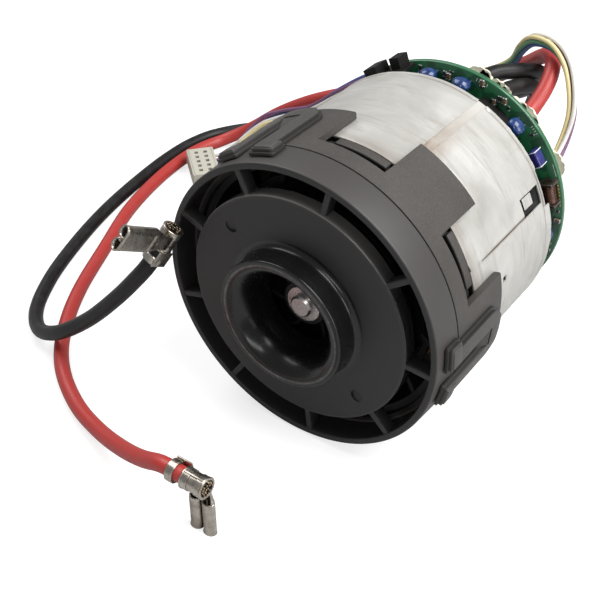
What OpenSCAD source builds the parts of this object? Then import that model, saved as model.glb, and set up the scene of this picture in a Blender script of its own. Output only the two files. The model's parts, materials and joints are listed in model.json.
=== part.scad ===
// Brushless motor with a centrifugal fan head, a control board, two power leads and a signal plug.
// The shaft lies along Y and the air inlet looks towards -Y. The fan ring stands on Z = 0.

/* [Fan ring and cover] */
// Outer radius of the fan ring
ring_r = 40.4; // [38:0.2:46]
// How much smaller the front edge of the cover is than the ring
cover_draft = 0.4; // [0.1:0.1:1]
// Depth of the cover, from its front edge to the ring
cover_depth = 9.4; // [8.6:0.2:14]
// Width of the rim outside the slots
rim_w = 1.8; // [1.4:0.1:3]
// Radial width of the slots
slot_w = 6.4; // [5:0.1:7.6]
// Thickness of the front disc
disc_t = 2; // [1.4:0.1:2.6]
// Number of ribs between the disc and the rim
rib_n = 9; // [5:1:14]
// Width of a rib
rib_w = 1.6; // [1:0.1:3]
// Depth of a rib
rib_depth = 4; // [2:0.2:6]
// Angle of the first rib, counter-clockwise from +X seen from the front
rib_angle = 36.4; // [0:0.1:72]
// Thickness of the skirt behind the edge of the disc
skirt_t = 1; // [0.8:0.1:1.4]
// Depth of the skirt behind the front face
skirt_depth = 4; // [3:0.1:5]
// Radius on which the two round dimples lie
dimple_at = 26.1; // [23:0.1:28]
// Diameter of a dimple
dimple_d = 3.4; // [2:0.1:5]
// Depth of a dimple
dimple_depth = 0.5; // [0.2:0.1:1]
// Angles of the dimples
dimple_angles = [137, 316]; // [0:1:360]

/* [Air inlet] */
// Outer radius of the collar
collar_r = 17.9; // [15:0.1:20]
// Height of the collar in front of the disc
collar_h = 6.9; // [4:0.1:12]
// Radius of the hollow fillet at the foot of the collar
collar_fillet = 1.8; // [0.5:0.1:3]
// Width of the collar's lip
lip_w = 0.9; // [0.6:0.1:1.5]
// Radius of the throat
throat_r = 11; // [9:0.1:12]
// Depth of the throat behind the front face
throat_depth = 5; // [3.4:0.1:5.6]
// Wall of the inlet nozzle at the throat
nozzle_t = 1.2; // [0.8:0.1:2]

/* [Fan bracket] */
// Depth of the bracket's ring
ring_depth = 5.4; // [4:0.2:9]
// Length of the spigot that centres the cover
spigot_len = 2; // [1:0.1:3]
// Wall of the spigot
spigot_t = 1.6; // [1:0.1:2]
// Clearance between the spigot and the cover, on the radius
spigot_gap = 0.1; // [0.05:0.01:0.3]
// Thickness of the deck behind the impeller
deck_t = 2.2; // [1.4:0.1:3]
// Width of the air duct around the deck
duct_w = 4.1; // [3:0.1:5]
// How much smaller the neck between the ring and the motor is than the motor housing
neck_step = 1.1; // [0.6:0.1:1.6]
// Wall of the neck
neck_t = 1.8; // [1.2:0.1:2.4]
// Length of the neck
neck_len = 7.2; // [5:0.1:12]
// Number of air guide vanes around the deck
vane_n = 13; // [7:1:19]
// Thickness of a vane
vane_t = 1.2; // [0.8:0.1:2]
// Lean of a vane from the radius
vane_lean = 35; // [0:1:50]
// Thickness of the tabs that run back over the motor
tab_t = 2; // [1.4:0.1:2]
// Clearance between the tabs and the metal sheet around the motor
sheet_gap = 0.2; // [0.1:0.05:0.6]
// Length of the tabs behind the ring
tab_len = 16.6; // [10:0.1:24]
// Angle that a plain tab covers
plain_tab_arc = 27.5; // [15:0.5:34]
// Angle that a tab under a clip covers
clip_tab_arc = 38.4; // [30:0.2:46]
// Number of clips, and of plain tabs between them
clip_n = 3; // [3:1:3]
// Angle of the first clip
clip_angle = -5; // [-30:1:30]

/* [Latch clips] */
// Radial height of a clip on the ring
clip_t = 1.7; // [1.2:0.1:2.6]
// Half of the gap between the two legs
leg_gap_half = 2.9; // [2:0.1:4]
// Width of a leg
leg_w = 4.3; // [3:0.1:6]
// Width of the ledge at the foot of a leg
ledge_w = 0.8; // [0.4:0.1:1.2]
// Height of that ledge
ledge_h = 0.8; // [0.4:0.1:1]
// How far a leg's head stands out sideways
head_w = 1.8; // [0.9:0.1:2.4]
// Length of a leg's head
head_len = 4.6; // [3:0.1:5.4]
// Distance of the heads behind the cover's front edge
head_back = 3.4; // [2:0.1:4]
// Width of the bar that joins the legs at the rear
bar_w = 4.3; // [3:0.1:6]
// Distance of that bar's rear edge behind the cover's front edge
clip_back = 28; // [25:0.1:29.4]
// Radius of the rounded corners of a clip
clip_corner = 1.6; // [0.5:0.1:2.2]
// Length of the ramped nib that holds the bar
nib_len = 4; // [2:0.1:6]
// Clearance around the nib
nib_gap = 0.3; // [0.2:0.05:0.6]

/* [Impeller] */
// How much smaller the impeller is than the deck behind it
impeller_inset = 1.5; // [1.3:0.1:4]
// Number of blades
blade_n = 7; // [5:1:11]
// Thickness of a blade
blade_t = 1.1; // [0.8:0.1:1.6]
// Angle by which a blade sweeps back
blade_sweep = 62; // [20:1:90]
// Radius at which the blades start
blade_start = 7.4; // [7:0.1:9]
// Gap between the impeller's rear plate and the deck
impeller_gap = 0.6; // [0.4:0.1:1.2]
// Thickness of the rear plate
plate_t = 1.2; // [0.8:0.1:2]
// Thickness of the shroud in front of the blades
shroud_t = 0.8; // [0.6:0.1:1.2]
// Clearance between the shroud and the throat, on the radius
shroud_gap = 0.4; // [0.3:0.05:0.8]
// Distance of the shroud's eye behind the cover's front edge
shroud_front = 3.4; // [3:0.1:4]
// Width of the impeller's outlet
outlet_w = 4.4; // [3:0.1:5]
// Radius of the hub at its front
hub_front_r = 6.4; // [6:0.1:7]
// Radius of the hub at its rear plate
hub_back_r = 10; // [8:0.1:12]
// Outer radius of the steel bush in the hub
bush_r = 4.8; // [4.2:0.1:5.6]
// Distance of the bush behind the cover's front edge
bush_front = 3.6; // [3.2:0.1:4]

/* [Shaft and bearings] */
// Radius of the shaft
shaft_r = 3; // [2.5:0.1:3.4]
// Distance of the shaft's end behind the cover's front edge
shaft_front = 2; // [1:0.1:3]
// Chamfer on the shaft's ends
shaft_chamfer = 0.5; // [0.2:0.1:0.8]
// Outer radius of the bearings
bearing_r = 8.5; // [8:0.1:10]
// Width of the bearings
bearing_w = 6; // [5:0.1:7]
// Radius of the bearing balls
ball_r = 1.7; // [1.4:0.05:1.8]
// Number of balls in a bearing
ball_n = 7; // [5:1:8]
// Clearance between a ball and its outer groove
ball_gap = 0.03; // [0.02:0.01:0.06]
// Wall around the bearing seats
seat_t = 1.8; // [1.2:0.1:3]
// Shoulder that stops the front bearing
shoulder_t = 1; // [0.6:0.1:2]
// Clearance between the shaft and that shoulder, on the radius
shoulder_gap = 0.8; // [0.5:0.1:1.5]

/* [Motor] */
// Wall of the motor housing
housing_t = 1.8; // [1.4:0.1:2.4]
// Length of the motor housing
housing_len = 40; // [38:0.5:60]
// Thickness of the metal sheet around the housing
sheet_t = 0.7; // [0.4:0.1:0.8]
// Angle at which the sheet starts
sheet_start = 69; // [60:1:80]
// Angle left open between the sheet's ends, closed by a strip
strip_arc = 4; // [2:1:14]
// Angle of the middle of the window in the sheet
window_angle = 25; // [10:1:40]
// Angle that the window covers
window_arc = 8; // [6:1:16]
// Length of the window along the motor
window_len = 9.6; // [6:0.1:16]
// Distance from the window to the sheet's rear edge
window_back = 2; // [1:0.5:6]
// Width of the slit that runs forward from the window
slit_w = 0.5; // [0.2:0.1:1]
// Distance of the slit's middle from the window's lower side
slit_inset = 0.5; // [0.5:0.1:2]
// Angle of the middle of the small slot in the sheet
notch_angle = 6.1; // [2:0.1:12]
// Width and length of the small slot in the sheet
notch_w = 1.6; // [0.8:0.1:3]
notch_len = 1.8; // [0.8:0.1:6]
// Distance of the small slot from the window's front end
notch_ahead = 12.5; // [4:0.1:20]
// Space between the coils and the spokes behind them
coil_room = 1.2; // [0.6:0.1:4]
// Distance from the neck to the stator core
core_offset = 5; // [5:0.1:8]
// Radius of the bore of the stator
stator_bore_r = 15.5; // [15.3:0.1:16]
// Radial width of the stator's back iron
yoke_w = 4.2; // [3:0.1:6]
// Number of teeth and coils
tooth_n = 9; // [9:1:9]
// Width of a tooth
tooth_w = 6; // [4:0.1:6.4]
// Radial height of a tooth's tip
tip_h = 1.4; // [1:0.1:2]
// Opening between two tooth tips
tip_gap = 2; // [1:0.1:4]
// Thickness of the insulators on the core's ends
insulator_t = 1.6; // [1:0.1:2]
// Thickness of the coils
coil_t = 2.6; // [1.6:0.1:2.8]
// Extra thickness of the outer half of a coil
coil_step = 1.2; // [0:0.1:1.6]
// Gap between the rotor and the stator
air_gap = 0.7; // [0.5:0.05:0.9]
// Thickness of the band around the magnets
band_t = 0.4; // [0.3:0.05:0.6]
// Thickness of the magnets
magnet_t = 3; // [2:0.1:4]
// Number of magnets
magnet_n = 4; // [4:1:4]
// Angle left open between two magnets
magnet_gap = 6; // [4:1:30]
// Radius of the balance ring
balance_r = 11; // [8:0.1:14]
// Thickness of the balance ring
balance_t = 3; // [1:0.1:4]

/* [Rear of the motor] */
// Number of spokes that carry the rear bearing
spoke_n = 6; // [3:1:8]
// Width of a spoke
spoke_w = 4; // [3:0.1:6]
// Thickness of the spokes
spoke_t = 2.4; // [1.6:0.1:3]
// Distance from the rear edge of the housing to the spokes' front
spoke_back = 4.6; // [3:0.1:5]
// Distance from the housing to the control board
board_gap = 10.9; // [9:0.1:16]
// How much smaller the control board is than the housing
board_inset = 0.2; // [0:0.1:0.6]
// Thickness of the control board
board_t = 1.6; // [1:0.1:2.4]
// Distance of the posts that carry the board from the housing's outside
post_inset = 4.9; // [4.7:0.1:6]
// Radial thickness of a post
post_t = 2.6; // [2:0.1:4]
// Number of posts
post_n = 6; // [3:1:8]
// Angle that a post covers
post_arc = 24; // [16:1:30]
// Radius of the board screws
screw_r = 1.25; // [0.8:0.05:1.25]
// Radius of a screw's head
screw_head_r = 2.4; // [1.8:0.1:3]
// Height of a screw's head
screw_head_h = 1.6; // [1:0.1:2.2]
// Depth of a screw in its post
screw_len = 6; // [3:0.5:10]

// Angle of the middle of the two wire guides
guide_angle = 117; // [105:1:160]
// Angle that the wall of the wire guides covers
guide_arc = 18; // [10:1:24]
// How far a wire guide stands out from the inside of the housing
guide_out = 4.6; // [2:0.1:5]
// Depth of a wire guide
guide_depth = 5.2; // [3:0.1:6]
// Gap between the wire guides and the board
guide_gap = 0.6; // [0.3:0.1:2]

/* [Board parts] */
// Radius of a dipped capacitor
cap_r = 2.5; // [1.6:0.1:3]
// Thickness of a dipped capacitor
cap_t = 2.6; // [1.6:0.1:3]
// Length of a capacitor's wires between the body and the board
cap_leg = 0.8; // [0.3:0.1:2]
// Width and height of the box-shaped capacitor, which is the fourth
film_w = 6.2; // [4:0.1:7]
film_h = 4.2; // [3:0.1:5]
// Angles of the capacitors
cap_angles = [99.7, 82.6, 51.5, 34.6, -4]; // [-30:0.1:130]
// Distance of the capacitors and the choke from the board's edge
parts_inset = 2.6; // [2.5:0.05:2.8]
// Angle of the choke
choke_angle = 17; // [5:1:25]
// Length of the choke's core
choke_len = 7; // [4:0.1:9]
// Outer radius of the choke's winding
choke_r = 2; // [1.4:0.1:2.2]
// Number of transistors behind the board
transistor_n = 6; // [3:1:8]
// Radius on which the transistors lie
transistor_at = 21.5; // [21:0.1:25]
// Edge of a transistor
transistor_w = 6.5; // [4:0.1:8]
// Height of a transistor
transistor_h = 2.3; // [1.4:0.1:2.4]
// Height of the sealant around the wires
sealant_h = 3; // [2.2:0.1:3.4]
// Width of the sealant around a wire
sealant_w = 2.2; // [1:0.1:2.5]

/* [Leads and plugs] */
// Diameter of the power leads
lead_d = 4.4; // [3.6:0.1:4.4]
// Diameter of the bundle of signal wires
bundle_d = 3.2; // [2:0.1:3.4]
// Thickness of the terminals' sheet
terminal_t = 0.4; // [0.3:0.05:0.6]
// Radius of the crimped barrel
barrel_r = 2.8; // [2.4:0.1:3]
// Length of the crimped barrel
barrel_len = 6.5; // [5:0.1:8]
// Length of the crimp around the insulation
grip_len = 2.3; // [1.5:0.1:3]
// Gap between the two crimps
grip_gap = 2.2; // [1:0.1:3]
// Distance from the barrel's axis to the mouth of the receptacle
mouth_at = 17.2; // [15:0.1:20]
// Length of the receptacle
receptacle_len = 10.5; // [8:0.1:12]
// Width of the receptacle
receptacle_w = 7.6; // [6:0.1:9]
// Height of the receptacle's rolled edges
curl_h = 2.8; // [2:0.1:3]
// Width of the neck between the barrel and the receptacle
terminal_neck_w = 4.6; // [3:0.1:6]
// Number of ways of the signal plug
way_n = 5; // [2:1:6]
// Distance between two ways
way_pitch = 2.5; // [2:0.1:2.6]
// Length of the plug's housing beyond its first and last way
plug_end = 2.45; // [1.5:0.05:3]
// Depth of the plug's housing, from its mouth to its wires
plug_depth = 9.8; // [8:0.1:12]
// Thickness of the plug's housing
plug_h = 5.7; // [4:0.1:7]
// Size of the windows in the plug
window_w = 1.3; // [0.8:0.1:1.6]

/* [Hidden] */
$fn = 96;
// Overlap used only to join pieces of one solid or to cut through a face
eps = 0.01;
// Number of steps in a quarter turn of a curved profile
arc_steps = 6;
// Small chamfer on moulded edges
edge = 0.4;
// Space between a coil and the walls that hold it
rim_space = 0.4;
// Half width of a bearing's open groove, as a share of the ball
race_step = 0.6;

// Places along the axis, measured to the rear from the front edge of the cover
ring_z = cover_depth;
deck_z = ring_z + ring_depth;
housing_z = deck_z + neck_len;
core_z = housing_z + core_offset;
housing_end = housing_z + housing_len;
spoke_z = housing_end - spoke_back;
core_end = spoke_z - coil_room - coil_t - insulator_t;
core_len = core_end - core_z;
board_z = housing_end + board_gap;
board_back = board_z + board_t;
front_bearing_z = deck_z + shoulder_t;
rear_bearing_z = spoke_z;
shaft_end = rear_bearing_z + bearing_w;
plate_z = deck_z - impeller_gap - plate_t;
outlet_z = plate_z - outlet_w;

// Radii that follow from the sizes above
front_r = ring_r - cover_draft;
slot_r = front_r - rim_w;
disc_r = slot_r - slot_w;
spigot_r = slot_r - spigot_gap;
tab_inner = ring_r - tab_t;
sheet_r = tab_inner - sheet_gap;
housing_r = sheet_r - sheet_t;
neck_r = housing_r - neck_step;
neck_inner = neck_r - neck_t;
deck_r = neck_inner - duct_w;
impeller_r = deck_r - impeller_inset;
board_r = housing_r - board_inset;
post_r = housing_r - post_inset;
parts_at = board_r - parts_inset;
core_r = housing_r - housing_t;
yoke_r = core_r - yoke_w;
tip_r = stator_bore_r + tip_h;
rotor_r = stator_bore_r - air_gap;
magnet_r = rotor_r - band_t;
// Angle that a magnet covers
magnet_arc = 360 / magnet_n - magnet_gap;
rotor_core_r = magnet_r - magnet_t;
seat_r = bearing_r + seat_t;
pitch_r = (shaft_r + bearing_r) / 2;
eye_r = throat_r + nozzle_t + shroud_gap;
clip_r = ring_r + clip_t;
leg_out = leg_gap_half + leg_w;
tab_end = deck_z + tab_len;
lead_r = lead_d / 2;

// Place of the motor's axis: the box around the rigid pieces is centred over the origin
axis_h = ring_r;
axis_x = -clip_t / 2;
front_y = (collar_h - board_back - sealant_h) / 2;

// Routes of the wires, as points of the whole model. They were drawn for the board's rear face here,
// and for a board of this radius. Their first points follow the board, and the rest lies on the ground.
drawn_base = [-0.85, 39.2, 40.4];
drawn_board_r = 37.3;
free_from = 8;
red_drawn = [
    [20, 39.2, 67], [20, 42.3, 67], [20.4, 45.6, 68.7], [20.9, 49.4, 71.5], [20.6, 53.4, 74.4],
    [19, 57.6, 76.3], [15.9, 61.6, 75.9], [12, 65.2, 73], [7, 68.8, 68.4], [-8, 73.5, 57], [-30, 77, 45.5],
    [-54, 78, 37.6], [-73, 77.6, 29], [-89, 77.6, 19], [-104, 77.2, 7.2], [-112, 71.5, 2.6],
    [-115, 63, 2.2], [-115.6, 53, 2.2], [-113.8, 37, 2.2], [-108.5, 16, 2.2], [-99.2, -6, 2.2],
    [-90, -26.6, 2.2], [-82.5, -39.3, 2.2], [-74, -50.2, 2.2], [-65, -58, 2.3], [-52.5, -65, 2.7],
    [-39, -70, 5], [-27, -73.6, 8.8], [-17.5, -76, 13], [-10.5, -77, 16.6], [-7.2, -77.2, 17.2],
    [-2.4, -77.2, 17.2]
];
black_drawn = [
    [6, 39.2, 73.9], [6, 42.6, 73.9], [7.8, 47.2, 74.2], [10.6, 51.6, 73.6], [13, 55.6, 72.8],
    [14.6, 60, 71], [14, 64.4, 67.6], [10, 68.5, 62.2], [2, 73, 55.6], [-14, 79, 44.8],
    [-34, 84, 32.5], [-60, 87.4, 20], [-90, 87.6, 9], [-108, 83.6, 3.6], [-116.8, 75, 2.2],
    [-120.2, 64, 2.2], [-120.6, 50, 2.2], [-118.8, 33, 2.2], [-114.8, 11, 2.2], [-109, -9, 2.2],
    [-101.2, -28.7, 2.2], [-92.6, -42.5, 2.4], [-83, -49.6, 4.6], [-73, -51.4, 9.6],
    [-61.3, -49.6, 18.6], [-50.6, -47.2, 30], [-44.6, -45.3, 37.6], [-41.57, -43.97, 41.89],
    [-38.8, -41.1, 47.65]
];
link_drawn = [
    [11.8, 39.2, 71.4], [11.8, 42.6, 71.4], [12.8, 46.8, 71.2], [14.4, 51, 70.6],
    [15.4, 55.2, 68.6], [15, 58.8, 64.4], [13.2, 59.8, 58.8], [11.2, 57.8, 53.4],
    [10, 53.4, 49.8], [9.6, 48, 48.2], [9.6, 42.6, 48], [9.6, 39.2, 48]
];
signal_drawn = [
    [30, 39.2, 57], [30, 42.3, 57], [30, 45, 59], [30, 47.4, 62.2], [29.7, 49.6, 67.2],
    [27.6, 51.8, 73.4], [23.8, 54.2, 78.8], [18.6, 56, 81.8], [12.6, 57.6, 81.2], [8.4, 60.4, 76.6], [4.6, 63.6, 70],
    [-6, 66.4, 62.4], [-24, 69, 56.4], [-44, 70.6, 49.4], [-58, 70, 39.6], [-68, 69.4, 31],
    [-82, 68.4, 21.6], [-91, 65.4, 15], [-96.4, 60.8, 9], [-98.6, 57.2, 5.2],
    [-100.7, 54.1, 4.1]
];
red_route = led(red_drawn, free_from);
black_route = led(black_drawn, free_from);
signal_route = led(signal_drawn, free_from);
link_route = [for (p = link_drawn) on_board(p)];
// First point of the red and the black barrel, and their directions
red_barrel = red_route[len(red_route) - 1];
black_barrel = black_route[len(black_route) - 1];
red_axis = [1, 0, 0];
red_mouth = [0, 0, -1];
black_axis = [0.395, 0.410, 0.823];
black_mouth = [-0.129, -0.862, 0.490];
// Middle of the plug, its heading and its lean on the ground
plug_at = [-103.8, 50.3, 4.1];
plug_turn = -40;
plug_lean = 9;

function on_board(p) = [
    axis_x + (p[0] - drawn_base[0]) * board_r / drawn_board_r,
    front_y + board_back + p[1] - drawn_base[1],
    axis_h + (p[2] - drawn_base[2]) * board_r / drawn_board_r
];
function led(route, free) = [for (i = [0:len(route) - 1])
    let (share = max(0, 1 - i / free)) share * on_board(route[i]) + (1 - share) * route[i]];
function unit(v) = v / norm(v);
function arc(cx, cy, r, a0, a1, n = arc_steps) =
    [for (i = [0:n]) let (a = a0 + (a1 - a0) * i / n) [cx + r * cos(a), cy + r * sin(a)]];
function quarter(r0, z0, r1, z1, n = arc_steps) =
    [for (i = [0:n]) let (a = 90 * i / n) [r0 + (r1 - r0) * (1 - cos(a)), z0 + (z1 - z0) * sin(a)]];
function sector(r, a, n = 12) =
    concat([[0, 0]], [for (i = [0:n]) let (b = -a / 2 + a * i / n) r / cos(a / n / 2) * [cos(b), sin(b)]]);
function ring_points(r, a, n = 12) =
    [for (i = [0:n]) let (b = -a / 2 + a * i / n) r * [cos(b), sin(b)]];
function reversed(list) = [for (i = [len(list) - 1:-1:0]) list[i]];

// Places its children on the motor's axis: their z runs to the rear from the cover's front edge
module on_axis() {
    translate([axis_x, front_y, axis_h]) rotate([-90, 0, 0]) children();
}

// Turns its children to an angle seen from the front, from +X towards +Z
module at_angle(angle) {
    rotate([0, 0, -angle]) children();
}

module tube(outer, inner, z0, z1) {
    translate([0, 0, z0]) difference() {
        cylinder(r = outer, h = z1 - z0);
        translate([0, 0, -eps]) cylinder(r = inner, h = z1 - z0 + 2 * eps);
    }
}

module tube_sector(outer, inner, z0, z1, a) {
    intersection() {
        tube(outer, inner, z0, z1);
        translate([0, 0, z0]) linear_extrude(z1 - z0) polygon(sector(outer + 1, a));
    }
}

// Shapes drawn as tangential width and place along the axis, stood out along the radius
module radial_extrude(r) {
    rotate([90, 0, 90]) linear_extrude(r) children();
}

// Fan cover: slotted rim, disc with a skirt, and the inlet nozzle
module nozzle_profile() {
    steps = 9;
    mouth_r = collar_r - edge - lip_w;
    bell = [for (i = [0:steps]) let (a = 90 * i / steps) [
        throat_r + (mouth_r - throat_r) * (1 - sin(a)),
        throat_depth - (throat_depth + collar_h) * cos(a)
    ]];
    root = min(throat_depth, shroud_front) - shroud_gap;
    back = [
        [throat_r + nozzle_t, throat_depth], [throat_r + nozzle_t, root],
        [throat_r + 2 * nozzle_t, disc_t],
        [disc_r - skirt_t, disc_t], [disc_r - skirt_t, skirt_depth], [disc_r, skirt_depth]
    ];
    foot = arc(collar_r + collar_fillet, -collar_fillet, collar_fillet, 90, 180);
    polygon(concat(
        bell, back, [[disc_r, edge], [disc_r - edge, 0]], foot,
        [[collar_r, -collar_h + edge], [collar_r - edge, -collar_h]]
    ));
}

module rim_profile() {
    polygon([
        [slot_r, edge], [slot_r + edge, 0], [front_r - edge, 0], [front_r, edge],
        [ring_r, cover_depth], [slot_r, cover_depth]
    ]);
}

module fan_cover() {
    color("#2c2c2e") on_axis() difference() {
        union() {
            rotate_extrude() nozzle_profile();
            rotate_extrude() rim_profile();
            for (i = [0:rib_n - 1])
                at_angle(rib_angle + i * 360 / rib_n)
                    translate([disc_r - skirt_t / 2, -rib_w / 2, edge / 2])
                        cube([slot_w + (skirt_t + rim_w) / 2, rib_w, rib_depth - edge / 2]);
        }
        for (a = dimple_angles)
            at_angle(a) translate([dimple_at, 0, -eps]) cylinder(d = dimple_d, h = dimple_depth + eps);
    }
}

// Fan bracket: ring with spigot, neck and tabs, vanes, and the deck with the bearing seat
module bracket_profile() {
    polygon([
        [neck_inner, ring_z], [spigot_r - spigot_t, ring_z],
        [spigot_r - spigot_t, ring_z - spigot_len], [spigot_r, ring_z - spigot_len],
        [spigot_r, ring_z], [ring_r, ring_z], [ring_r, tab_end - edge], [ring_r - edge, tab_end],
        [tab_inner, tab_end], [tab_inner, deck_z + edge], [neck_r, deck_z + edge],
        [neck_r, housing_z], [neck_inner, housing_z]
    ]);
}

module gaps_between_tabs() {
    gap_arc = 180 / clip_n - (clip_tab_arc + plain_tab_arc) / 2;
    turn = (clip_tab_arc + gap_arc) / 2;
    inner = (neck_r + tab_inner) / 2;
    for (i = [0:clip_n - 1], s = [-1, 1])
        at_angle(clip_angle + i * 360 / clip_n + s * turn)
            translate([0, 0, deck_z]) linear_extrude(tab_len + 1)
                polygon(concat(ring_points(ring_r + 2, gap_arc), reversed(ring_points(inner, gap_arc))));
}

module vanes() {
    overlap = 0.3;
    intersection() {
        tube(neck_inner + overlap, deck_r - overlap, ring_z + edge, deck_z + deck_t - edge);
        for (i = [0:vane_n - 1])
            at_angle(i * 360 / vane_n)
                translate([deck_r, 0, ring_z])
                    rotate([0, 0, vane_lean])
                        translate([-slot_w, -vane_t / 2, 0])
                            cube([3 * slot_w, vane_t, ring_depth + deck_t]);
    }
}

// Short ribs that stiffen the root of each tab
module tab_ribs(angle, covered) {
    overlap = 0.3;
    inset = 3;
    for (s = [-1, 1])
        at_angle(angle + s * (covered / 2 - inset))
            translate([neck_r - overlap, -tab_t / 4, deck_z - overlap])
                cube([tab_inner - neck_r + 2 * overlap, tab_t / 2, tab_t]);
}

module nib() {
    top = clip_back - bar_w - nib_gap;
    radial_profile = [
        [ring_r - tab_t / 2, top - nib_len], [ring_r, top - nib_len],
        [clip_r - nib_gap, top - edge], [clip_r - nib_gap, top], [ring_r - tab_t / 2, top]
    ];
    half = leg_gap_half - nib_gap;
    translate([0, half, 0]) rotate([90, 0, 0]) linear_extrude(2 * half) polygon(radial_profile);
}

module fan_bracket() {
    color("#2f2f31") on_axis() difference() {
        union() {
            rotate_extrude() bracket_profile();
            translate([0, 0, deck_z]) cylinder(r = deck_r, h = deck_t);
            translate([0, 0, deck_z + deck_t / 2])
                cylinder(r = seat_r, h = shoulder_t + bearing_w - deck_t / 2);
            vanes();
            for (i = [0:clip_n - 1]) {
                tab_ribs(clip_angle + i * 360 / clip_n, clip_tab_arc);
                tab_ribs(clip_angle + (i + 0.5) * 360 / clip_n, plain_tab_arc);
                at_angle(clip_angle + i * 360 / clip_n) nib();
            }
        }
        gaps_between_tabs();
        translate([0, 0, front_bearing_z]) cylinder(r = bearing_r, h = bearing_w + 1);
        translate([0, 0, deck_z - 1]) cylinder(r = shaft_r + shoulder_gap, h = shoulder_t + 2);
    }
}

// Latch clips: two legs with heads at the front, joined by a bar at the rear
module clip_outline(grow) {
    side = leg_out + grow;
    head = leg_out + head_w;
    rear = clip_back;
    inner_end = clip_back - bar_w;
    right = concat(
        [[leg_gap_half, inner_end], [leg_gap_half, head_back]],
        arc(head - clip_corner / 2, head_back + clip_corner / 2, clip_corner / 2, -90, 0, 3),
        [[head, head_back + head_len], [side, head_back + head_len]],
        arc(side - clip_corner, rear - clip_corner, clip_corner, 0, 90)
    );
    polygon(concat(right, reversed([for (p = right) [-p[0], p[1]]])));
}

module latch_clip(i) {
    color("#29292b") on_axis() at_angle(clip_angle + (i - 1) * 360 / clip_n) {
        intersection() {
            tube(ring_r + ledge_h, ring_r, 0, clip_back);
            radial_extrude(clip_r + 1) clip_outline(ledge_w);
        }
        intersection() {
            tube(clip_r, ring_r + ledge_h - eps, 0, clip_back);
            radial_extrude(clip_r + 1) clip_outline(0);
        }
    }
}

// Motor housing: plastic tube with a spoked rear, bearing seat, board posts and two wire guides
module wire_guides() {
    top = board_z - guide_gap;
    inner = core_r + housing_t / 4;
    wall = core_r + 3 * housing_t / 4;
    foot = inner + housing_t / 4;
    at_angle(guide_angle) tube_sector(wall, inner, housing_end - housing_t, top, guide_arc);
    at_angle(guide_angle - guide_arc / 4)
        tube_sector(core_r + guide_out, foot, top - guide_depth, top - edge, guide_arc / 4);
    at_angle(guide_angle + guide_arc / 4)
        tube_sector(core_r + guide_out - edge, foot, top - 1.7 * guide_depth, top - guide_depth / 2,
            guide_arc / 3);
}

module motor_housing() {
    color("#262628") on_axis() difference() {
        union() {
            tube(housing_r, core_r, housing_z, housing_end);
            tube(core_r + eps, post_r - post_t, spoke_z, spoke_z + spoke_t);
            translate([0, 0, spoke_z]) cylinder(r = seat_r, h = bearing_w);
            for (i = [0:spoke_n - 1])
                rotate([0, 0, i * 360 / spoke_n])
                    translate([0, -spoke_w / 2, spoke_z]) cube([post_r - post_t + 1, spoke_w, spoke_t]);
            for (i = [0:post_n - 1])
                rotate([0, 0, i * 360 / post_n])
                    tube_sector(post_r, post_r - post_t, spoke_z, board_z, post_arc);
            wire_guides();
        }
        translate([0, 0, spoke_z - eps]) cylinder(r = bearing_r, h = bearing_w + 2 * eps);
        board_screw_holes(board_z - screw_len, board_z + eps);
    }
}

// The three board screws, or the holes for them
module board_screw_holes(z0, z1) {
    for (i = [0:2])
        rotate([0, 0, i * 120])
            translate([post_r - post_t / 2, 0, z0]) cylinder(r = screw_r, h = z1 - z0);
}

// Metal sheet around the housing, with its window and its slit, and the strip over its ends
module motor_sheet() {
    window_end = housing_end - window_back;
    color("#b9b6b1") on_axis() difference() {
        tube(sheet_r, housing_r, housing_z, housing_end);
        at_angle(sheet_start - strip_arc / 2)
            tube_sector(sheet_r + 1, housing_r - 1, housing_z - 1, housing_end + 1, strip_arc);
        at_angle(window_angle)
            tube_sector(sheet_r + 1, housing_r - 1, window_end - window_len, window_end, window_arc);
        at_angle(window_angle - window_arc / 2)
            translate([0, 0, housing_z - 1])
                linear_extrude(window_end - window_len - housing_z + 2)
                    translate([housing_r - 1, -slit_inset - slit_w / 2]) square([sheet_t + 2, slit_w]);
        at_angle(notch_angle)
            translate([housing_r - 1, -notch_w / 2, window_end - window_len - notch_ahead - notch_len])
                cube([sheet_t + 2, notch_w, notch_len]);
    }
}

module seam_strip() {
    color("#b8a489") on_axis() at_angle(sheet_start - strip_arc / 2)
        tube_sector(sheet_r, housing_r, housing_z, housing_end, strip_arc);
}

// Stator: toothed core, insulators and coils
module toothed_ring(outer, tooth_end, tips) {
    half = 180 / tooth_n - asin(tip_gap / 2 / tip_r);
    difference() {
        circle(r = outer);
        circle(r = yoke_r);
    }
    for (i = [0:tooth_n - 1])
        rotate(i * 360 / tooth_n) {
            if (tips) intersection() {
                circle(r = tip_r);
                polygon(sector(tip_r + 1, 2 * half));
            }
            translate([tooth_end, -tooth_w / 2]) square([yoke_r - tooth_end + 1, tooth_w]);
        }
}

module stator_core() {
    color("#8d8f92") on_axis() translate([0, 0, core_z]) linear_extrude(core_len) difference() {
        toothed_ring(core_r, stator_bore_r, true);
        circle(r = stator_bore_r);
    }
}

module insulator(z0, z1) {
    rim_edge = 0.6;
    flange = coil_t + insulator_t - rim_edge;
    low = z0 < core_z ? z0 - coil_t : z0 + rim_edge;
    half = 180 / tooth_n - asin(tooth_w / 2 / tip_r);
    color("#d8d4c4") on_axis() {
        translate([0, 0, z0]) linear_extrude(z1 - z0)
            toothed_ring(core_r - rim_edge, tip_r - tip_h / 2, false);
        for (i = [0:tooth_n - 1])
            rotate([0, 0, i * 360 / tooth_n])
                tube_sector(tip_r, stator_bore_r + rim_edge, low, low + flange, 2 * half);
    }
}

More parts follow.
